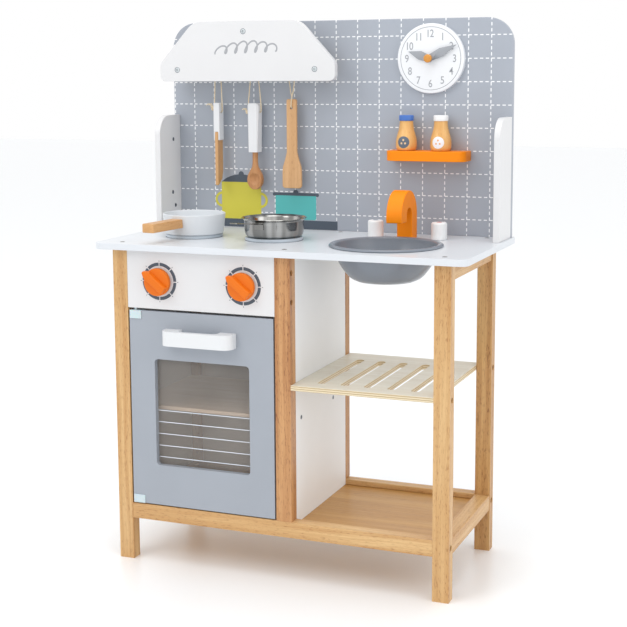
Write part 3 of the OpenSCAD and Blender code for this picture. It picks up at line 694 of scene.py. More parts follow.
def soften(
    bm: bmesh.types.BMesh, edge: float, segments: int = 3, angle: float = 35, small: float = 12,
    back: float = math.inf,
) -> None:
    """Rounds the sharp edges of a mesh in place.

    Args:
        bm: the mesh.
        edge: the rounding's width in millimetres.
        segments: how many strips the rounding has.
        angle: edges sharper than this many degrees are rounded.
        small: a run of edges less than this many millimetres across, such as a hole's rim, stays sharp.
        back: edges that reach further back than this, in metres, stay sharp.
    """
    bmesh.ops.dissolve_limit(bm, angle_limit=FLAT_ANGLE, verts=bm.verts, edges=bm.edges)
    chosen = []
    for run in sharp_runs(bm, angle):
        if around({v for e in run for v in e.verts}).size.length > mm(small):
            chosen += [e for e in run if max(v.co.y for v in e.verts) < back]
    bmesh.ops.bevel(
        bm, geom=chosen, offset=mm(edge), offset_type="OFFSET", affect="EDGES", segments=segments,
        profile=0.5, material=-1, clamp_overlap=True,
    )
    bmesh.ops.remove_doubles(bm, verts=bm.verts, dist=SLIVER)
    bmesh.ops.dissolve_degenerate(bm, dist=SLIVER, edges=bm.edges)


def softened(node: str, edge: float, keep: Test | None = None, **options: float) -> bmesh.types.BMesh:
    """A copy of a CAD node with its edges rounded.

    Args:
        node: the CAD node.
        edge: the rounding's width in millimetres.
        keep: says of a solid's centre whether that solid is kept.
        options: passed on to soften().

    Returns:
        The mesh.
    """
    bm = copy_of(node)
    if keep:
        gone = [v for group in islands(bm) if not keep(around(group).centre) for v in group]
        bmesh.ops.delete(bm, geom=gone, context="VERTS")
    soften(bm, edge, **options)
    return bm


def part_of(node: str, level: float, above: bool) -> bmesh.types.BMesh:
    """The solids of a CAD node above or below a height, cut there if one solid spans it.

    Args:
        node: the CAD node.
        level: the height in metres.
        above: which part is wanted.

    Returns:
        The part, closed where it was cut.
    """
    bm = copy_of(node)
    groups = islands(bm)
    if len(groups) > 1:
        gone = [v for group in groups if (around(group).centre.z > level) != above for v in group]
        bmesh.ops.delete(bm, geom=gone, context="VERTS")
        return bm
    cut = bmesh.ops.bisect_plane(
        bm, geom=[*bm.verts, *bm.edges, *bm.faces], dist=1e-7, plane_co=(0, 0, level), plane_no=(0, 0, 1),
        clear_inner=above, clear_outer=not above,
    )["geom_cut"]
    bmesh.ops.holes_fill(bm, edges=[e for e in cut if isinstance(e, bmesh.types.BMEdge)], sides=0)
    bmesh.ops.recalc_face_normals(bm, faces=bm.faces)
    return bm


def round_corner(bm: bmesh.types.BMesh, vert: bmesh.types.BMVert, reach: float, segments: int = 6) -> None:
    """Rounds one corner of a flat face, starting this many millimetres from it."""
    bmesh.ops.bevel(
        bm, geom=[vert], offset=mm(reach), offset_type="OFFSET", affect="VERTICES", segments=segments,
        profile=0.5, material=-1,
    )


def flat(outline: Outline) -> bmesh.types.BMesh:
    """A flat face in X and Y from (x, y) or (x, y, rounding) corners in millimetres."""
    bm = bmesh.new()
    verts = [bm.verts.new((mm(c[0]), mm(c[1]), 0)) for c in outline]
    bm.faces.new(verts)
    for vert, corner in zip(verts, outline):
        if len(corner) > 2 and corner[2] > 0:
            round_corner(bm, vert, corner[2])
    return bm


def thicken(bm: bmesh.types.BMesh, depth: float) -> None:
    """Turns flat faces into a slab of this depth in millimetres along Z, in place."""
    made = bmesh.ops.extrude_face_region(bm, geom=list(bm.faces))["geom"]
    verts = [v for v in made if isinstance(v, bmesh.types.BMVert)]
    bmesh.ops.translate(bm, verts=verts, vec=(0, 0, mm(depth)))
    bmesh.ops.recalc_face_normals(bm, faces=bm.faces)


def slab(outline: Outline, depth: float, edge: float = 0, segments: int = 3) -> bmesh.types.BMesh:
    """A slab from an outline, from height 0 up, with its edges rounded if edge isn't 0."""
    bm = flat(outline)
    thicken(bm, depth)
    if edge:
        soften(bm, edge, segments, small=0)
    return bm


def turned(section: Outline, steps: int = ROUND_STEPS) -> bmesh.types.BMesh:
    """A turned solid about Z.

    Args:
        section: half of its cross-section as (radius, height) or (radius, height, rounding)
            corners in millimetres, from the axis round to the axis again.
        steps: how many strips go round.

    Returns:
        The mesh, closed and facing outwards.
    """
    bm = flat(section)
    bmesh.ops.delete(bm, geom=list(bm.faces), context="FACES_ONLY")
    on_axis = [e for e in bm.edges if all(abs(v.co.x) < 1e-9 for v in e.verts)]
    bmesh.ops.delete(bm, geom=on_axis, context="EDGES")
    bmesh.ops.rotate(bm, verts=bm.verts, cent=(0, 0, 0), matrix=FRONT.to_3x3())
    bmesh.ops.spin(
        bm, geom=[*bm.verts, *bm.edges], cent=(0, 0, 0), axis=(0, 0, 1), angle=math.tau,
        steps=steps, use_merge=True,
    )
    bmesh.ops.remove_doubles(bm, verts=bm.verts, dist=1e-7)
    bmesh.ops.recalc_face_normals(bm, faces=bm.faces)
    return bm


def eased(points: Sequence[Point2], steps: int = 4) -> list[Point2]:
    """A smooth line through 2-D points, with this many steps between each two."""
    return [(p.x, p.y) for p in eased_path([Vector((x, y, 0)) for x, y in points], steps)]


def eased_path(points: Sequence[Vector], steps: int) -> list[Vector]:
    """A smooth line through points, with this many steps between each two."""
    line = []
    for i in range(len(points) - 1):
        before, start, end = points[max(i - 1, 0)], points[i], points[i + 1]
        after = points[min(i + 2, len(points) - 1)]
        for k in range(steps):
            t = k / steps
            line.append(
                0.5 * (2 * start + (end - before) * t + (2 * before - 5 * start + 4 * end - after) * t * t
                       + (3 * start - before - 3 * end + after) * t ** 3)
            )
    return [*line, points[-1]]


def ring_piece(inner: float, outer: float, depth: float, start: float = 0, sweep: float = 360) -> bmesh.types.BMesh:
    """A flat ring or part of one about Z, from height 0 up, with angles in degrees."""
    bm = flat([(inner, 0), (outer, 0), (outer, depth), (inner, depth)])
    bmesh.ops.rotate(bm, verts=bm.verts, cent=(0, 0, 0), matrix=FRONT.to_3x3())
    bmesh.ops.rotate(bm, verts=bm.verts, cent=(0, 0, 0), matrix=Matrix.Rotation(math.radians(start), 3, "Z"))
    whole = sweep >= 360
    if whole:
        bmesh.ops.delete(bm, geom=list(bm.faces), context="FACES_ONLY")
    steps = max(6, round(sweep / 360 * ROUND_STEPS))
    bmesh.ops.spin(
        bm, geom=[*bm.verts, *bm.edges, *bm.faces], cent=(0, 0, 0), axis=(0, 0, 1), angle=math.radians(sweep),
        steps=steps, use_merge=whole,
    )
    bmesh.ops.remove_doubles(bm, verts=bm.verts, dist=1e-7)
    bmesh.ops.recalc_face_normals(bm, faces=bm.faces)
    return bm


def moved(bm: bmesh.types.BMesh, matrix: Matrix) -> bmesh.types.BMesh:
    """The same mesh, put where the matrix says."""
    bmesh.ops.transform(bm, matrix=matrix, verts=bm.verts)
    return bm


def shifted(x: float, y: float, z: float) -> Matrix:
    """A shift in metres."""
    return Matrix.Translation((x, y, z))


def facing_front(x: float, y: float, z: float) -> Matrix:
    """Stands a drawing upright: its X and Y become X and Z, and its own Z comes out of the front."""
    return shifted(x, y, z) @ FRONT


def joined(parts: Iterable[bmesh.types.BMesh]) -> bmesh.types.BMesh:
    """Several meshes as one. The parts are used up."""
    whole = bmesh.new()
    for part in parts:
        mesh = bpy.data.meshes.new("part")
        part.to_mesh(mesh)
        part.free()
        whole.from_mesh(mesh)
        bpy.data.meshes.remove(mesh)
    return whole


def swept(path: Sequence[Vector], radius: float, lobes: int = 3, twist: float = 0.0) -> bmesh.types.BMesh:
    """A twisted strand along a path.

    Args:
        path: the points it follows, in metres.
        radius: its greatest radius in millimetres.
        lobes: how many plies the strand shows.
        twist: how far the plies turn for each step, in degrees.

    Returns:
        The mesh, closed at both ends.
    """
    bm = bmesh.new()
    verts = bmesh.ops.create_circle(bm, cap_ends=True, segments=4 * lobes, radius=mm(radius))["verts"]
    for i, vert in enumerate(verts):
        if i % 4 == 0:
            vert.co *= 0.72
    aims = [(path[min(i + 1, len(path) - 1)] - path[max(i - 1, 0)]).normalized() for i in range(len(path))]
    turn = Vector((0, 0, 1)).rotation_difference(aims[0])
    here = shifted(*path[0]) @ turn.to_matrix().to_4x4()
    bmesh.ops.transform(bm, matrix=here, verts=bm.verts)
    ring = list(bm.edges)
    for i in range(1, len(path)):
        turn = aims[i - 1].rotation_difference(aims[i]) @ turn
        spin = Matrix.Rotation(math.radians(twist * i), 4, "Z")
        there = shifted(*path[i]) @ turn.to_matrix().to_4x4() @ spin
        made = bmesh.ops.extrude_edge_only(bm, edges=ring)["geom"]
        ring = [e for e in made if isinstance(e, bmesh.types.BMEdge)]
        moving = [v for v in made if isinstance(v, bmesh.types.BMVert)]
        bmesh.ops.transform(bm, matrix=there @ here.inverted(), verts=moving)
        here = there
    bmesh.ops.contextual_create(bm, geom=ring)
    bmesh.ops.recalc_face_normals(bm, faces=bm.faces)
    return bm


def driven_head(radius: float, height: float, recess: Outline, depth: float, shank: Point2) -> bmesh.types.BMesh:
    """A screw along -Z with its head's face at height 0.

    Args:
        radius: of the head.
        height: of the head.
        recess: outline of the driver's recess in the head.
        depth: of the recess.
        shank: its radius, and its length with the head.

    Returns:
        The mesh.
    """
    bm = bmesh.new()
    bmesh.ops.create_circle(bm, cap_ends=False, segments=32, radius=mm(radius))
    rim = list(bm.edges)
    corners = [bm.verts.new((mm(x), mm(y), 0)) for x, y in recess]
    mouth = [bm.edges.new(pair) for pair in zip(corners, [*corners[1:], corners[0]])]
    bmesh.ops.bridge_loops(bm, edges=rim + mouth)
    for edges, drop in ((mouth, depth), (rim, height)):
        made = bmesh.ops.extrude_edge_only(bm, edges=edges)["geom"]
        verts = [v for v in made if isinstance(v, bmesh.types.BMVert)]
        bmesh.ops.translate(bm, verts=verts, vec=(0, 0, -mm(drop)))
        bmesh.ops.contextual_create(bm, geom=[e for e in made if isinstance(e, bmesh.types.BMEdge)])
    bmesh.ops.recalc_face_normals(bm, faces=bm.faces)
    outer = [e for e in bm.edges if all(abs(v.co.xy.length - mm(radius)) < 1e-6 and v.co.z > -1e-7 for v in e.verts)]
    bmesh.ops.bevel(
        bm, geom=outer, offset=mm(radius * 0.08), offset_type="OFFSET", affect="EDGES", segments=2,
        profile=0.5, material=-1,
    )
    stem = turned([(0, -shank[1]), (shank[0] * 0.6, -shank[1]), (shank[0], -shank[1] + 2), (shank[0], -height),
                   (0, -height)], 16)
    return joined([bm, stem])


def cross_recess(arm: float, width: float) -> list[Point2]:
    """The outline of a cross-shaped recess, counter-clockwise."""
    quarter = [(arm, -width), (arm, width), (width, width)]
    outline = []
    for step in range(4):
        c, s = round(math.cos(math.pi / 2 * step)), round(math.sin(math.pi / 2 * step))
        outline += [(x * c - y * s, x * s + y * c) for x, y in quarter]
    return outline


def socket_recess(radius: float) -> list[Point2]:
    """The outline of a six-sided socket."""
    return [(radius * math.cos(math.tau * k / 6), radius * math.sin(math.tau * k / 6)) for k in range(6)]


def piece(
    name: str,
    bm: bmesh.types.BMesh,
    body: str,
    finish: Finish,
    replaces: Sequence[str] = (),
    smooth: float = 40,
    weighted: bool = False,
) -> bpy.types.Object:
    """Turns a mesh into a finished piece of the object.

    Args:
        name: the piece's name.
        bm: its mesh, in place; it is used up.
        body: the CAD body it moves with.
        finish: what it is dressed in.
        replaces: the CAD nodes it stands for.
        smooth: edges sharper than this many degrees show as edges.
        weighted: keeps large flat faces flat beside rounded edges.

    Returns:
        The object.
    """
    mesh = bpy.data.meshes.new(name)
    bm.to_mesh(mesh)
    bm.free()
    mesh.shade_smooth()
    mesh.set_sharp_from_angle(angle=math.radians(smooth))
    mesh.materials.append(finish.material())
    made = bpy.data.objects.new(name, mesh)
    bpy.context.scene.collection.objects.link(made)
    if weighted:
        made.modifiers.new("flat_faces", "WEIGHTED_NORMAL").keep_sharp = True
    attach(made, body)
    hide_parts(*replaces)
    log.info("%s: %d faces, rides on %s", name, len(mesh.polygons), body)
    return made


def dress(node: str, finish: Finish) -> None:
    """Gives a CAD node that stays in view its finish."""
    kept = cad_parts[node]
    for slot in kept.material_slots:
        slot.material = finish.material()
    log.info("%s: CAD mesh kept, dressed in %s", node, finish.name)


# ---------------------------------------------------------------- sub-assemblies


@dataclass
class WoodFrame:
    """Legs, rails, aprons, base board and the bolts through them."""

    leg_edge: float = 2.0
    rail_edge: float = 1.6
    board_edge: float = 0.5

    def build(self) -> None:
        """Makes every piece of the frame."""
        for column in ("left", "middle", "right"):
            for side in ("front", "back"):
                node = f"leg_{side}_{column}"
                warm = column == "middle"
                finish = (MIDDLE_WOOD if warm else LEG_WOOD) if side == "front" else (BACK_WOOD if warm else REAR_WOOD)
                piece(f"{node}_post", softened(node, self.leg_edge), "cabinet", finish, [node], weighted=True)
        for node in ("rail_front", "rail_back"):
            mesh = softened(node, self.rail_edge)
            piece(f"{node}_bar", mesh, "cabinet", RAIL_WOOD, [node], weighted=True)
        mesh = softened("side_rails", self.rail_edge)
        piece("side_rail_bars", mesh, "cabinet", SIDE_WOOD, ["side_rails"], weighted=True)
        beside = softened("aprons", self.rail_edge, keep=lambda c: c.x > 0.25)
        piece("side_apron_bar", beside, "cabinet", SIDE_WOOD, ["aprons"], weighted=True)
        behind = softened("aprons", self.rail_edge, keep=lambda c: c.x < 0.25)
        piece("back_apron_bars", behind, "cabinet", RAIL_WOOD, ["aprons"], weighted=True)
        mesh = softened("bottom_board", self.board_edge)
        piece("base_panel", mesh, "cabinet", BASE_WOOD, ["bottom_board"], weighted=True)
        self.bolts()

    def bolts(self) -> None:
        """Socket-head bolts, sunk in the sides of the legs."""
        heads = []
        for place in solids_of("frame_bolts"):
            outwards = 1 if place.centre.x > 0 else -1
            face = place.high.x if outwards > 0 else place.low.x
            head = driven_head(place.size.y * 500, 2.5, socket_recess(2.2), 1.8, (2.4, place.size.x * 1000))
            turn = Matrix.Rotation(math.radians(90 * outwards), 4, "Y")
            heads.append(moved(head, shifted(face, place.centre.y, place.centre.z) @ turn))
        piece("leg_bolts", joined(heads), "cabinet", BRONZE, ["frame_bolts"])


@dataclass
class Worktop:
    """The white top and its screws."""

    edge: float = 1.6

    def build(self) -> None:
        """Makes the top and its screw heads."""
        mesh = softened("worktop", self.edge, segments=4)
        piece("worktop_slab", mesh, "cabinet", TOP_WHITE, ["worktop"], weighted=True)
        heads = []
        for place in solids_of("worktop_screws"):
            head = driven_head(3.9, 1.6, cross_recess(2.3, 0.55), 1.1, (1.9, place.size.z * 1000))
            heads.append(moved(head, shifted(place.centre.x, place.centre.y, place.high.z)))
        piece("worktop_screw_heads", joined(heads), "cabinet", DARK_STEEL, ["worktop_screws"])


@dataclass
class OvenFront:
    """Control panel with its dials, and the knobs that turn on it."""

    panel_edge: float = 1.0
    ring_inner: float = 24.2
    ring_outer: float = 29.2
    ring_gap: float = 3.4
    tick_inner: float = 30.6
    tick_length: float = 2.0
    print_depth: float = 0.12
    disc_depth: float = 8.0
    grip_depth: float = 7.9
    grip_turn: float = 141.0

    def build(self) -> None:
        """Makes the panel, its prints and both knobs."""
        mesh = softened("control_panel", self.panel_edge)
        piece("control_board", mesh, "cabinet", WHITE, ["control_panel"], weighted=True)
        dress("knob_spindles", BRIGHT)
        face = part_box("control_panel")[0].y
        for side in ("left", "right"):
            spindle = place_of(f"knob_{side}")
            x, z = self.axis(side)
            piece(f"dial_ring_{side}", self.dial(x, face, z), "cabinet", SLATE, smooth=30)
            knob = self.knob(x, spindle.high.y, z)
            piece(f"knob_{side}_turned", knob, f"{side}_knob", KNOB_ORANGE, [f"knob_{side}"])

    def axis(self, side: str) -> Point2:
        """Where a knob's spindle is, as X and Z."""
        places = solids_of("knob_spindles")
        found = places[0] if side == "left" else places[-1]
        return found.centre.x, found.centre.z

    def dial(self, x: float, y: float, z: float) -> bmesh.types.BMesh:
        """Eight printed segments round a knob, with a small tick outside each gap."""
        parts = []
        for step in range(8):
            start = 90 + 45 * step
            parts.append(ring_piece(self.ring_inner, self.ring_outer, self.print_depth,
                                    start + self.ring_gap / 2, 45 - self.ring_gap))
            tick = slab([(self.tick_inner, -0.4), (self.tick_inner + self.tick_length, -0.4),
                         (self.tick_inner + self.tick_length, 0.4), (self.tick_inner, 0.4)], self.print_depth)
            parts.append(moved(tick, Matrix.Rotation(math.radians(start), 4, "Z")))
        return moved(joined(parts), facing_front(x, y, z))

    def knob(self, x: float, y: float, z: float) -> bmesh.types.BMesh:
        """A disc with a raised, sloping grip that ends in a pointer."""
        radius = 21.5
        disc = turned([(0, 0), (radius, 0, 0.8), (radius, self.disc_depth, 1.8), (0, self.disc_depth)])
        grip = flat([(-20, -6.8, 2), (19, -6.8, 3), (26, -1.5, 1), (26, 1.5, 1), (19, 6.8, 3), (-20, 6.8, 2)])
        thicken(grip, self.grip_depth)
        for vert in grip.verts:
            if vert.co.z > mm(1):
                vert.co.y *= 0.86
                vert.co.x *= 0.98
        soften(grip, 0.9, 3, angle=30, small=0)
        moved(grip, Matrix.Rotation(math.radians(self.grip_turn), 4, "Z") @ shifted(0, 0, mm(self.disc_depth - 0.2)))
        return moved(joined([disc, grip]), facing_front(x, y, z))


@dataclass
class OvenDoor:
    """The hinged door with its pane, handle, hinge plates and fittings."""

    edge: float = 1.0
    handle_edge: float = 3.2
    handle_foot: float = 0.5
    line_heights: tuple[float, ...] = (246.0, 227.5, 208.5, 189.5, 171.0)
    line_width: float = 1.3

    def build(self) -> None:
        """Makes every piece that swings, and the catch."""
        mesh = softened("door_panel", self.edge, small=25)
        piece("door_leaf", mesh, "door", DOOR_GREY, ["door_panel"], weighted=True)
        piece("door_pane", softened("door_window", 0.3), "door", PANE, ["door_window"])
        self.pane_lines()
        foot = place_of("door_handle").high.y - mm(self.handle_foot)
        mesh = softened("door_handle", self.handle_edge, segments=5, small=25, back=foot)
        piece("door_pull", mesh, "door", HANDLE_WHITE, ["door_handle"], smooth=50, weighted=True)
        mesh = softened("hinge_plates", 0.35, small=7)
        piece("hinge_corners", mesh, "door", HINGE_PALE, ["hinge_plates"], weighted=True)
        mesh = softened("door_strike", 0.25)
        piece("strike_plate", mesh, "door", BRIGHT, ["door_strike"])
        mesh = softened("door_catch", 1.2)
        piece("catch_block", mesh, "cabinet", CATCH, ["door_catch"])
        dress("door_screws", ZINC)

    def pane_lines(self) -> None:
        """The printed rack lines across the pane."""
        pane = place_of("door_window")
        half = pane.size.x * 500 - 8.6
        bars = []
        for height in self.line_heights:
            bar = slab([(-half, -self.line_width / 2), (half, -self.line_width / 2),
                        (half, self.line_width / 2), (-half, self.line_width / 2)], 0.15)
            bars.append(moved(bar, facing_front(pane.centre.x, pane.low.y, mm(height))))
        piece("pane_rack_lines", joined(bars), "door", WINDOW_LINE)


@dataclass
class Carcass:
    """Inner panels, the oven's shelf and the open slatted shelf."""

    edge: float = 0.8

    def build(self) -> None:
        """Makes the panels, the shelves and the panel screws."""
        panels = {
            "side_panel": ("side_board", LIT_INNER_WHITE, "white_paint"),
            "divider_panel": ("divider_board", LIT_INNER_WHITE, "white_paint"),
            "oven_back": ("oven_back_board", LIT_INNER_WHITE, "white_paint"),
            "oven_shelf": ("oven_rack_board", OVEN_WOOD, "oven_board"),
            "slatted_shelf": ("slatted_ply_shelf", BIRCH, "birch_ply"),
        }
        for node, (name, finish, slot) in panels.items():
            piece(name, softened(node, self.edge), "cabinet", finish, [node], weighted=True)
        self.screws()

    def screws(self) -> None:
        """Cross-head screws of the divider and the fins, and the hood's own with a ring of painted shade round each
        head.
        """
        heads, hood_heads, rims = [], [], []
        for place in solids_of("panel_screws"):
            size = place.size
            if size.y > size.x:
                there = facing_front(place.centre.x, place.low.y, place.centre.z)
                head = driven_head(4.0, 2.4, cross_recess(2.2, 0.75), 1.7, (1.8, size.y * 1000))
                hood_heads.append(moved(head, there))
                # A dark ring round each hood screw head is painted shade where the head meets the board.
                rims.append(moved(ring_piece(4.0, 4.6, 0.1), there))
                continue
            inwards = 1 if place.centre.x < 0.1 else -1
            face = place.high.x if inwards > 0 else place.low.x
            turn = Matrix.Rotation(math.radians(90 * inwards), 4, "Y")
            there = shifted(face, place.centre.y, place.centre.z) @ turn
            head = driven_head(3.5, 1.9, cross_recess(2.2, 0.5), 1.2, (1.6, size.x * 1000))
            heads.append(moved(head, there))
        piece("panel_screw_heads", joined(heads), "cabinet", ZINC, ["panel_screws"])
        piece("hood_screw_heads", joined(hood_heads), "cabinet", PALE_ZINC, ["panel_screws"])
        piece("hood_screw_painted_shade_rims", joined(rims), "cabinet", SHADOW_LINE)


@dataclass
class Backboard:
    """The printed board, the pots printed on it and the fins at its sides."""

    edge: float = 1.2
    fin_edge: float = 2.6
    ink_depth: float = 0.12

    def build(self) -> None:
        """Makes the board, its prints and both fins."""
        mesh = softened("backboard", self.edge)
        piece("printed_backboard", mesh, "cabinet", BOARD, ["backboard"], weighted=True)
        for side in ("left", "right"):
            mesh = softened(f"fin_{side}", self.fin_edge, segments=4)
            piece(f"fin_{side}_board", mesh, "cabinet", WHITE, [f"fin_{side}"], weighted=True)
        self.pots()

    def print_slab(self, outline: Outline, layer: int = 1) -> bmesh.types.BMesh:
        """One printed shape on the board's front; a higher layer lies over a lower one."""
        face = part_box("backboard")[0].y
        return moved(slab(outline, self.ink_depth * layer), facing_front(0, face, 0))

    def pots(self) -> None:
        """Two printed pots with their lids, standing on a slate band."""
        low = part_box("backboard")[0].z * 1000
        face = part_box("backboard")[0].y
        band = [(-209, low + 0.5), (3.5, low + 0.5), (3.5, 525), (-209, 525)]
        rise = eased([(-134.8, 586.4), (-142, 592), (-153, 596.8), (-164, 599.2), (-171.3, 599.6)], 3)
        dome = [*rise, *reversed([(2 * rise[-1][0] - x, z) for x, z in rise[:-1]])]
        knob = [(-176, 598.5), (-166.5, 598.5), (-166.5, 604.8, 4.4), (-176, 604.8, 4.4)]
        bar = [(-113, 565, 2.6), (-29.5, 565, 2.6), (-29.5, 570.8, 2.6), (-113, 570.8, 2.6)]
        stud = [(-75.8, 569), (-66.2, 569), (-66.2, 575.8, 4.4), (-75.8, 575.8, 4.4)]
        slate = [self.print_slab(shape) for shape in (band, dome, bar)]
        slate += [self.print_slab(shape, 2) for shape in (knob, stud)]
        piece("slate_print", joined(slate), "cabinet", SLATE)
        body = [self.print_slab([(-208, 524, 3), (-134.5, 524, 3), (-134.5, 586.5), (-208, 586.5)], 3)]
        for middle, start in ((-207, 90), (-135.5, -90)):
            ear = ring_piece(9.0, 13.2, self.ink_depth * 3.5, start, 180)
            body.append(moved(ear, facing_front(mm(middle), face, mm(556.5))))
        piece("yellow_pot_print", joined(body), "cabinet", POT_YELLOW)
        teal = self.print_slab([(-108, 526, 3), (-34.5, 526, 3), (-34.5, 566), (-108, 566)], 3)
        piece("teal_pot_print", teal, "cabinet", POT_TEAL)


@dataclass
class Hood:
    """The cooker hood in front of the board, with a printed flourish."""

    edge: float = 3.4
    loops: int = 6
    span: float = 106.0
    tall: float = 19.0

    def build(self) -> None:
        """Makes the hood, its spacers and its print."""
        mesh = softened("hood_board", self.edge, segments=5)
        piece("hood_panel", mesh, "cabinet", WHITE, ["hood_board"], weighted=True)
        mesh = softened("hood_spacers", 0.8)
        piece("hood_spacer_studs", mesh, "cabinet", PEG_WOOD, ["hood_spacers"])
        piece("hood_flourish", self.flourish(), "cabinet", SCRIPT_GREY)

    def flourish(self) -> bmesh.types.BMesh:
        """A looping pen stroke across the hood's face."""
        board = place_of("hood_board")
        middle = Vector((board.centre.x, board.low.y, board.low.z + board.size.z * 0.57))
        points = []
        count = 120
        for i in range(count + 1):
            t = i / count
            turn = math.tau * self.loops * t
            swell = 0.55 + 0.45 * math.sin(math.pi * t)
            x = (t - 0.5) * self.span - 5.2 * math.sin(turn)
            height = swell * self.tall * 0.5 * (1 - math.cos(turn)) + (t - 0.5) * 3
            points.append(middle + Vector((mm(x + height * 0.35), 0, mm(height - self.tall / 2))))
        pen = swept(points, 1.35, 3)
        flatten = Matrix.Scale(0.16, 4, (0, 1, 0))
        return moved(pen, shifted(*middle) @ flatten @ shifted(*-middle))


@dataclass
class Clock:
    """The clock's face, numerals, hands and wooden cap."""

    ring: float = 49.4
    numeral_ring: float = 39.2
    numeral_height: float = 12.4

    def build(self) -> None:
        """Makes the face, its print, both hands and the cap."""
        face = place_of("clock_face")
        radius, depth = face.size.x * 500, face.size.y * 1000
        disc = turned([(0, 0), (radius, 0), (radius, depth, 1.6), (0, depth)], 128)
        there = facing_front(face.centre.x, face.high.y, face.centre.z)
        piece("clock_disc", moved(disc, there), "cabinet", CLOCK_WHITE, ["clock_face"])
        front = facing_front(face.centre.x, face.low.y, face.centre.z)
        ring = moved(ring_piece(self.ring - 0.45, self.ring + 0.45, 0.1), front)
        piece("clock_ring_print", ring, "cabinet", NUMERAL_GREY)
        piece("clock_numerals", moved(self.numerals(), front), "cabinet", NUMERAL_GREY)
        for hand in ("hour", "minute"):
            mesh = softened(f"{hand}_hand", 0.25, small=20, segments=2)
            piece(f"{hand}_hand_leaf", mesh, f"{hand}_pointer", HAND_GREY, [f"{hand}_hand"])
        cap = place_of("clock_cap")
        radius, depth = cap.size.x * 500, cap.size.y * 1000
        profile = [(0, 0), (2.5, 0), (2.5, depth - 5), (radius, depth - 5, 0.8), (radius, depth, 1.8), (0, depth)]
        pin = turned(profile, 48)
        there = facing_front(cap.centre.x, cap.high.y, cap.centre.z)
        piece("clock_cap_turned", moved(pin, there), "cabinet", CAP_WOOD, ["clock_cap"])

    def numerals(self) -> bmesh.types.BMesh:
        """The numbers 1 to 12, upright, round the dial."""
        parts = []
        for hour in range(1, 13):
            turn = math.radians(90 - 30 * hour)
            x, y = self.numeral_ring * math.cos(turn), self.numeral_ring * math.sin(turn)
            parts.append(moved(self.numeral(str(hour)), shifted(mm(x), mm(y), 0)))
        return joined(parts)

    def numeral(self, text: str) -> bmesh.types.BMesh:
        """One number, centred, as a thin print."""
        curve = bpy.data.curves.new("numeral", "FONT")
        curve.body = text
        curve.size = mm(self.numeral_height * 1.36)
        curve.space_character = 0.92
        curve.offset = mm(0.1)
        curve.extrude = mm(0.06)
        written = bpy.data.objects.new("numeral", curve)
        bpy.context.scene.collection.objects.link(written)
        graph = bpy.context.evaluated_depsgraph_get()
        mesh = bpy.data.meshes.new_from_object(written.evaluated_get(graph))
        bm = bmesh.new()
        bm.from_mesh(mesh)
        bpy.data.objects.remove(written)
        bpy.data.meshes.remove(mesh)
        bpy.data.curves.remove(curve)
        bmesh.ops.remove_doubles(bm, verts=bm.verts, dist=1e-7)
        box = around(bm.verts)
        moved(bm, Matrix.Scale(0.82, 4, (1, 0, 0)) @ shifted(-box.centre.x, -box.centre.y, -box.low.z))
        return bm


@dataclass
class SpiceShelf:
    """The orange shelf with its pepper and salt shakers."""

    edge: float = 1.4
    neck: float = 47.0
    label_height: float = 13.5

    def build(self) -> None:
        """Makes the shelf and both shakers."""
        mesh = softened("spice_shelf", self.edge, segments=4)
        piece("orange_spice_shelf", mesh, "cabinet", ORANGE, ["spice_shelf"], weighted=True)
        inks = {
            "pepper": (CAP_BLUE, (92, 102, 116), (232, 196, 148)),
            "salt": (CAP_WHITE, (236, 234, 238), (232, 170, 120)),
        }
        for name, (cap, label, dots) in inks.items():
            node = f"{name}_shaker"
            box = place_of(node)
            base = Vector((box.centre.x, box.centre.y, box.low.z))
            middle = base + Vector((0, 0, mm(self.label_height)))
            wood = Labelled(f"{name}_wood", **SHAKER_WOOD, pores=0.3, fineness=0.9, label=label, dots=dots,
                            centre=tuple(middle))
            piece(f"{name}_bottle", moved(self.bottle(), shifted(*base)), name, wood, [node])
            lid = turned([(0, self.neck - 1), (10.2, self.neck - 1), (10.2, self.neck), (11.8, self.neck, 1),
                          (11.8, 55.9, 1.6), (0, 55.9)])
            piece(f"{name}_lid", moved(lid, shifted(*base)), name, cap, [node])

    def bottle(self) -> bmesh.types.BMesh:
        """The pear-shaped body, up to its neck."""
        side = eased([(14.6, 0.8), (16.2, 4.0), (16.8, 10), (16.3, 18), (14.2, 26), (12.2, 33), (11.1, 40),
                      (10.7, self.neck - 0.8)], 4)
        return turned([(0, 0), (13.6, 0), *side, (10.2, self.neck), (0, self.neck)])


@dataclass
class Hanging:
    """A utensil on its loop of string."""

    name: str
    body: str
    peg: int
    route: tuple[tuple[float, float, float], ...]
    knot: tuple[float, float, float]
    knot_size: float
    string_radius: float = 0.95

    def hang(self) -> None:
        node = f"{self.name}_string"
        peg = solids_of("utensil_pegs")[self.peg].centre.x
        depth = place_of(self.name).centre.y
        here = Vector((peg, depth, 0))
        path = eased_path([here + Vector(p) * 0.001 for p in self.route], 8)
        strand = piece(f"{self.name}_loop", swept(path, self.string_radius, 3, 14), self.body, HEMP, [node],
                       smooth=60)
        middle = here + Vector(self.knot) * 0.001
        tied = piece(f"{self.name}_knot", self.tied(middle), self.body, HEMP, smooth=60)

    def tied(self, middle: Vector) -> bmesh.types.BMesh:
        """A small overhand knot with two frayed ends, as one strand."""
        size = self.knot_size
        points = []
        for i in range(49):
            t = math.tau * i / 48
            x = math.sin(t) + 2 * math.sin(2 * t)
            y = -math.sin(3 * t)
            z = math.cos(t) - 2 * math.cos(2 * t)
            points.append(middle + Vector((x, y, z)) * mm(size / 6))
        ends = []
        for lean in (-0.7, 0.5):
            steps = (Vector((-0.6, lean, 0.9)), Vector((-1.3, lean, 0.6)))
            tail = [middle, *(middle + step * mm(size) for step in steps)]
            ends.append(swept(eased_path(tail, 6), 0.8, 3, 14))
        return joined([swept(points, 1.15, 3, 14), *ends])


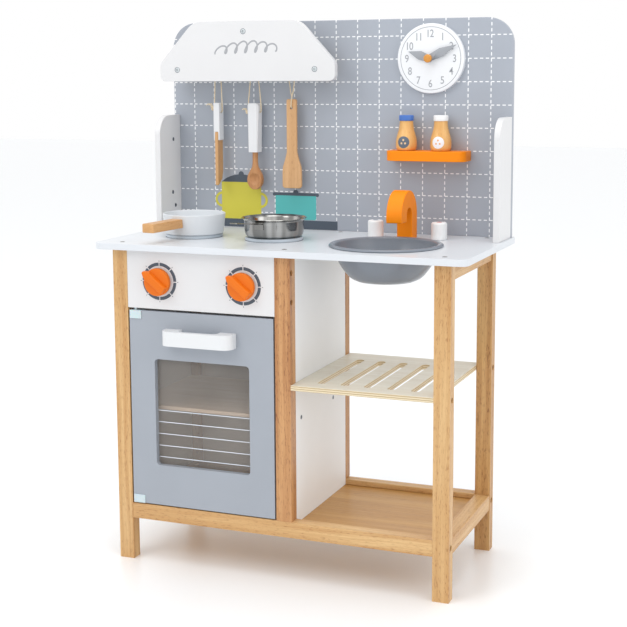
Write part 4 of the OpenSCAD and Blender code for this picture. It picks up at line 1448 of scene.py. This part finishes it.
OVER_PEG = ((-5.2, 0, 782), (-3.7, 0, 785.7), (0, 0, 787.2), (3.7, 0, 785.7), (5.2, 0, 782))
KNIFE_LOOP = Hanging(
    "knife", "hung_knife", 0,
    ((-7.2, -1.2, 711), (-6.8, -0.6, 722), (-6.2, 0, 740), (-5.4, 0, 765), *OVER_PEG,
     (5.4, 0, 765), (6.2, 0, 740), (7, 0, 716), (7.2, 0, 709), (6.4, 0, 706), (4.6, 0, 705), (0, 0, 705),
     (-4.6, 0, 705), (-6.4, 0.4, 706), (-7.3, 0.9, 708.4), (-7.2, 1.2, 711)),
    (-9.6, -1, 712), 7.5,
)
SPOON_LOOP = Hanging(
    "spoon", "hung_spoon", 1,
    ((-11.6, -1.2, 711), (-11.2, -0.6, 720), (-9.6, 0, 738), (-6.6, 0, 766), *OVER_PEG,
     (6.6, 0, 766), (9.6, 0, 738), (11.6, 0, 714), (11.7, 0, 708.5), (10.9, 0, 706), (9, 0, 705), (0, 0, 705),
     (-9, 0, 705), (-10.9, 0.4, 706), (-11.8, 0.9, 708.5), (-11.6, 1.2, 711)),
    (-13.4, -1, 706), 5.6,
)
SPATULA_LOOP = Hanging(
    "spatula", "hung_spatula", 2,
    ((-1.2, 4.6, 718), (-1.8, 4.2, 729), (-3.6, 2, 745), (-5.2, 0, 768), *OVER_PEG,
     (5.2, 0, 768), (4.2, -1.6, 745), (1.6, -4, 729), (0.6, -4.6, 718), (0.2, -4.4, 715), (0, -3, 713),
     (0, 0, 712.5), (0, 3, 713), (0.6, 4.5, 715), (1.2, 4.7, 718)),
    (0, 6.4, 716), 4.0,
)


@dataclass
class Utensils:
    """The pegs under the hood and the knife, spoon and spatula that hang on them."""

    grip_edge: float = 1.5
    wood_edge: float = 1.0

    def build(self) -> None:
        """Makes the pegs, the utensils and their strings."""
        pegs = []
        for place in solids_of("utensil_pegs"):
            depth = place.size.y * 1000
            peg = turned([(0, 0), (4, 0), (4, depth - 4), (7, depth - 4, 1), (7, depth, 1.5), (0, depth)], 32)
            pegs.append(moved(peg, facing_front(place.centre.x, place.high.y, place.centre.z)))
        piece("hanging_pegs", joined(pegs), "cabinet", PEG_WOOD, ["utensil_pegs"])
        split = {"knife": 0.655, "spoon": 0.6388}
        woods = {"knife": BLADE_WOOD, "spoon": SPOON_WOOD}
        for name, level in split.items():
            body = f"hung_{name}"
            grip = part_of(name, level, True)
            soften(grip, self.grip_edge, small=9)
            piece(f"{name}_grip", grip, body, GRIP_WHITE, [name], weighted=True)
            wood = part_of(name, level, False)
            soften(wood, self.wood_edge, small=9)
            piece(f"{name}_wooden_end", wood, body, woods[name], [name], weighted=True)
        mesh = softened("spatula", 1.3, small=9)
        piece("spatula_paddle", mesh, "hung_spatula", SPATULA_WOOD, ["spatula"], weighted=True)
        for loop in (KNIFE_LOOP, SPOON_LOOP, SPATULA_LOOP):
            loop.hang()


@dataclass
class Sink:
    """The bowl, the faucet and the two taps."""

    faucet_edge: float = 1.3
    dot_radius: float = 4.2

    def build(self) -> None:
        """Makes the bowl, the faucet and both taps."""
        box = place_of("sink_bowl")
        middle = shifted(box.centre.x, box.centre.y, mm(510))
        bowl = moved(self.bowl(), middle)
        piece("sink_basin", bowl, "sink", SINK_GREY, ["sink_bowl"], smooth=60)
        mesh = softened("faucet", self.faucet_edge, segments=4)
        piece("orange_faucet", mesh, "cabinet", ORANGE, ["faucet"], weighted=True)
        dress("sink_screws", ZINC)
        for name, dot in (("cold", DOT_BLUE), ("hot", DOT_RED)):
            self.tap(name, dot)

    def bowl(self) -> bmesh.types.BMesh:
        """The rolled rim and the bowl's outer and inner walls."""
        outside = eased([(79.6, 0.2), (77.6, -8), (72, -24), (63, -38), (54, -47.6), (44, -52.6)], 5)
        inside = eased([(42, -50.4), (52, -46.0), (61, -36.8), (70, -22.8), (75.6, -7), (77.6, 2.6)], 5)
        rim = eased([(80.4, 4.0), (83.4, 4.35), (85.6, 3.4), (86.9, 1.6), (86.2, 0.3)], 4)
        return turned([(0, -52.9), *reversed(outside), *reversed(rim), *reversed(inside), (0, -50.8)], 128)

    def tap(self, name: str, dot: Finish) -> None:
        """One turned tap with its coloured dot on top."""
        box = place_of(f"tap_{name}")
        radius, height = box.size.x * 500, box.size.z * 1000
        there = shifted(box.centre.x, box.centre.y, box.low.z)
        body = turned([(0, 0), (radius, 0, 0.6), (radius, height - 0.2, 3), (0, height - 0.2)])
        piece(f"{name}_tap_turned", moved(body, there), f"{name}_tap", TAP_WHITE, [f"tap_{name}"])
        mark = turned([(0, height - 0.5), (self.dot_radius, height - 0.5), (self.dot_radius, height), (0, height)], 48)
        piece(f"{name}_tap_dot", moved(mark, there), f"{name}_tap", dot)


@dataclass
class Hob:
    """The two hob discs, the saucepan and the frying pan."""

    disc_edge: float = 1.2
    pot_wall: float = 3.0

    def build(self) -> None:
        """Makes the discs and both pans."""
        discs, rings = [], []
        for place in solids_of("hob_discs"):
            radius, height = place.size.x * 500, place.size.z * 1000
            disc = turned([(0, 0), (radius - 0.6, 0), (radius - 0.6, 0.6), (radius, 0.7),
                           (radius, height, self.disc_edge),
                           (0, height)], 128)
            there = shifted(place.centre.x, place.centre.y, place.low.z)
            discs.append(moved(disc, there))
            # A thin dark ring round each disc's foot: painted contact shadow where the disc meets the worktop.
            rings.append(moved(ring_piece(radius - 1, radius + 0.5, 0.15), there))
        piece("hob_plates", joined(discs), "cabinet", HOB_GREY, ["hob_discs"])
        piece("hob_painted_shadow_rings", joined(rings), "cabinet", SHADOW_LINE)
        self.saucepan()
        self.frying_pan()

    def saucepan(self) -> None:
        """A white pan with a square-cut wooden handle."""
        box = place_of("saucepan")
        radius, height = box.size.x * 500, box.size.z * 1000
        wall = self.pot_wall
        section = [(0, 0), (radius - 3.4, 0, 2.6), (radius, height, 1.3), (radius - wall, height, 1.3),
                   (radius - 2.6 - wall, 4.6, 3), (0, 4.6)]
        pan = moved(turned(section, 128), shifted(box.centre.x, box.centre.y, box.low.z))
        piece("white_saucepan", pan, "saucepan_set", ENAMEL, ["saucepan"], smooth=50)
        mesh = softened("saucepan_handle", 2.6, segments=4)
        piece("saucepan_wood_handle", mesh, "saucepan_set", GRIP_WOOD, ["saucepan_handle"],
              weighted=True)

    def frying_pan(self) -> None:
        """A polished steel pan with a flared rim and a strap handle."""
        box = place_of("frying_pan")
        # The 0.35 paints broad bright and dark reflection streaks round the pan's wall.
        steel = Metal("polished_pan_steel", (166, 165, 162), 0.12, 700, (box.centre.x, box.centre.y, 0), 0.35)
        outside = [*eased([(39, 0), (43, 1.6), (45.6, 5), (47, 12)], 5), (47, 25),
                   *eased([(47.4, 26.6), (51.9, 29.6)], 4)]
        inside = [*eased([(51.4, 30.15), (46.6, 27.6)], 4), (45.6, 25),
                  *eased([(45.6, 12), (44.3, 6.2), (41.8, 3.0), (37.6, 1.4)], 5)]
        pan = moved(turned([(0, 0), *outside, *inside, (0, 1.4)], 128), shifted(box.centre.x, box.centre.y, box.low.z))
        piece("steel_frying_pan", pan, "frying_pan_set", steel, ["frying_pan"], smooth=60)
        mesh = softened("pan_handle", 0.35, small=6)
        piece("steel_strap_handle", mesh, "frying_pan_set", steel, ["pan_handle"], weighted=True)


# ---------------------------------------------------------------- studio


@dataclass
class Studio:
    """Camera, pale floor and soft lights."""

    eye: tuple[float, float, float] = (0.7934, -1.9405, 0.7683)
    yaw: float = 21.885
    pitch: float = -8.03
    roll: float = -0.31
    lens: float = 77.31
    raise_view: float = -0.0797

    def build(self) -> None:
        """Sets up everything that isn't part of the object."""
        self.camera()
        self.floor()
        self.lights()
        bpy.context.scene.view_settings.view_transform = "Standard"

    def camera(self) -> None:
        """The camera, with depth of field off."""
        data = bpy.data.cameras.new("view_camera")
        data.lens = self.lens
        data.shift_y = self.raise_view
        data.clip_start, data.clip_end = 0.05, 50
        eye = bpy.data.objects.new("view_camera", data)
        turn = (
            Matrix.Rotation(math.radians(self.yaw), 4, "Z")
            @ Matrix.Rotation(math.radians(90 + self.pitch), 4, "X")
            @ Matrix.Rotation(math.radians(self.roll), 4, "Z")
        )
        eye.matrix_world = shifted(*self.eye) @ turn
        bpy.context.scene.collection.objects.link(eye)
        bpy.context.scene.camera = eye

    def floor(self) -> None:
        """A wide, pale, slightly glossy floor."""
        bm = bmesh.new()
        bmesh.ops.create_grid(bm, x_segments=2, y_segments=2, size=12)
        mesh = bpy.data.meshes.new("studio_floor")
        bm.to_mesh(mesh)
        bm.free()
        mesh.materials.append(Skin("studio_floor_paint", (250, 252, 254), 0.3, 0.0, 0.0, 0.0).material())
        ground = bpy.data.objects.new("studio_floor", mesh)
        bpy.context.scene.collection.objects.link(ground)

    def lights(self) -> None:
        """A white surround, a soft key from the front left and a weak fill."""
        world = bpy.data.worlds.new("studio_white")
        world.use_nodes = True
        world.node_tree.nodes["Background"].inputs["Color"].default_value = (1, 1, 1, 1)
        world.node_tree.nodes["Background"].inputs["Strength"].default_value = 1.0
        bpy.context.scene.world = world
        self.panel("key_light", (-1.5, -2.4, 2.6), 1.3, 19)
        self.panel("top_light", (0.2, -0.6, 3.0), 1.6, 17)
        self.panel("side_light", (2.6, -0.9, 1.3), 1.8, 9)

    def panel(self, name: str, place: tuple[float, float, float], size: float, power: float) -> None:
        """A square area light that looks at the middle of the kitchen."""
        data = bpy.data.lights.new(name, "AREA")
        data.size = size
        data.energy = power
        lamp = bpy.data.objects.new(name, data)
        aim = Vector((0, 0, 0.45)) - Vector(place)
        lamp.matrix_world = shifted(*place) @ aim.to_track_quat("-Z", "Y").to_matrix().to_4x4()
        bpy.context.scene.collection.objects.link(lamp)


def main() -> None:
    """Builds the kitchen's looks and the studio round it."""
    logging.basicConfig(level=logging.INFO, format="%(name)s: %(message)s")
    Studio().build()
    WoodFrame().build()
    Worktop().build()
    OvenFront().build()
    OvenDoor().build()
    Carcass().build()
    Backboard().build()
    Hood().build()
    Clock().build()
    SpiceShelf().build()
    Utensils().build()
    Sink().build()
    Hob().build()


if __name__ == "__main__":
    main()
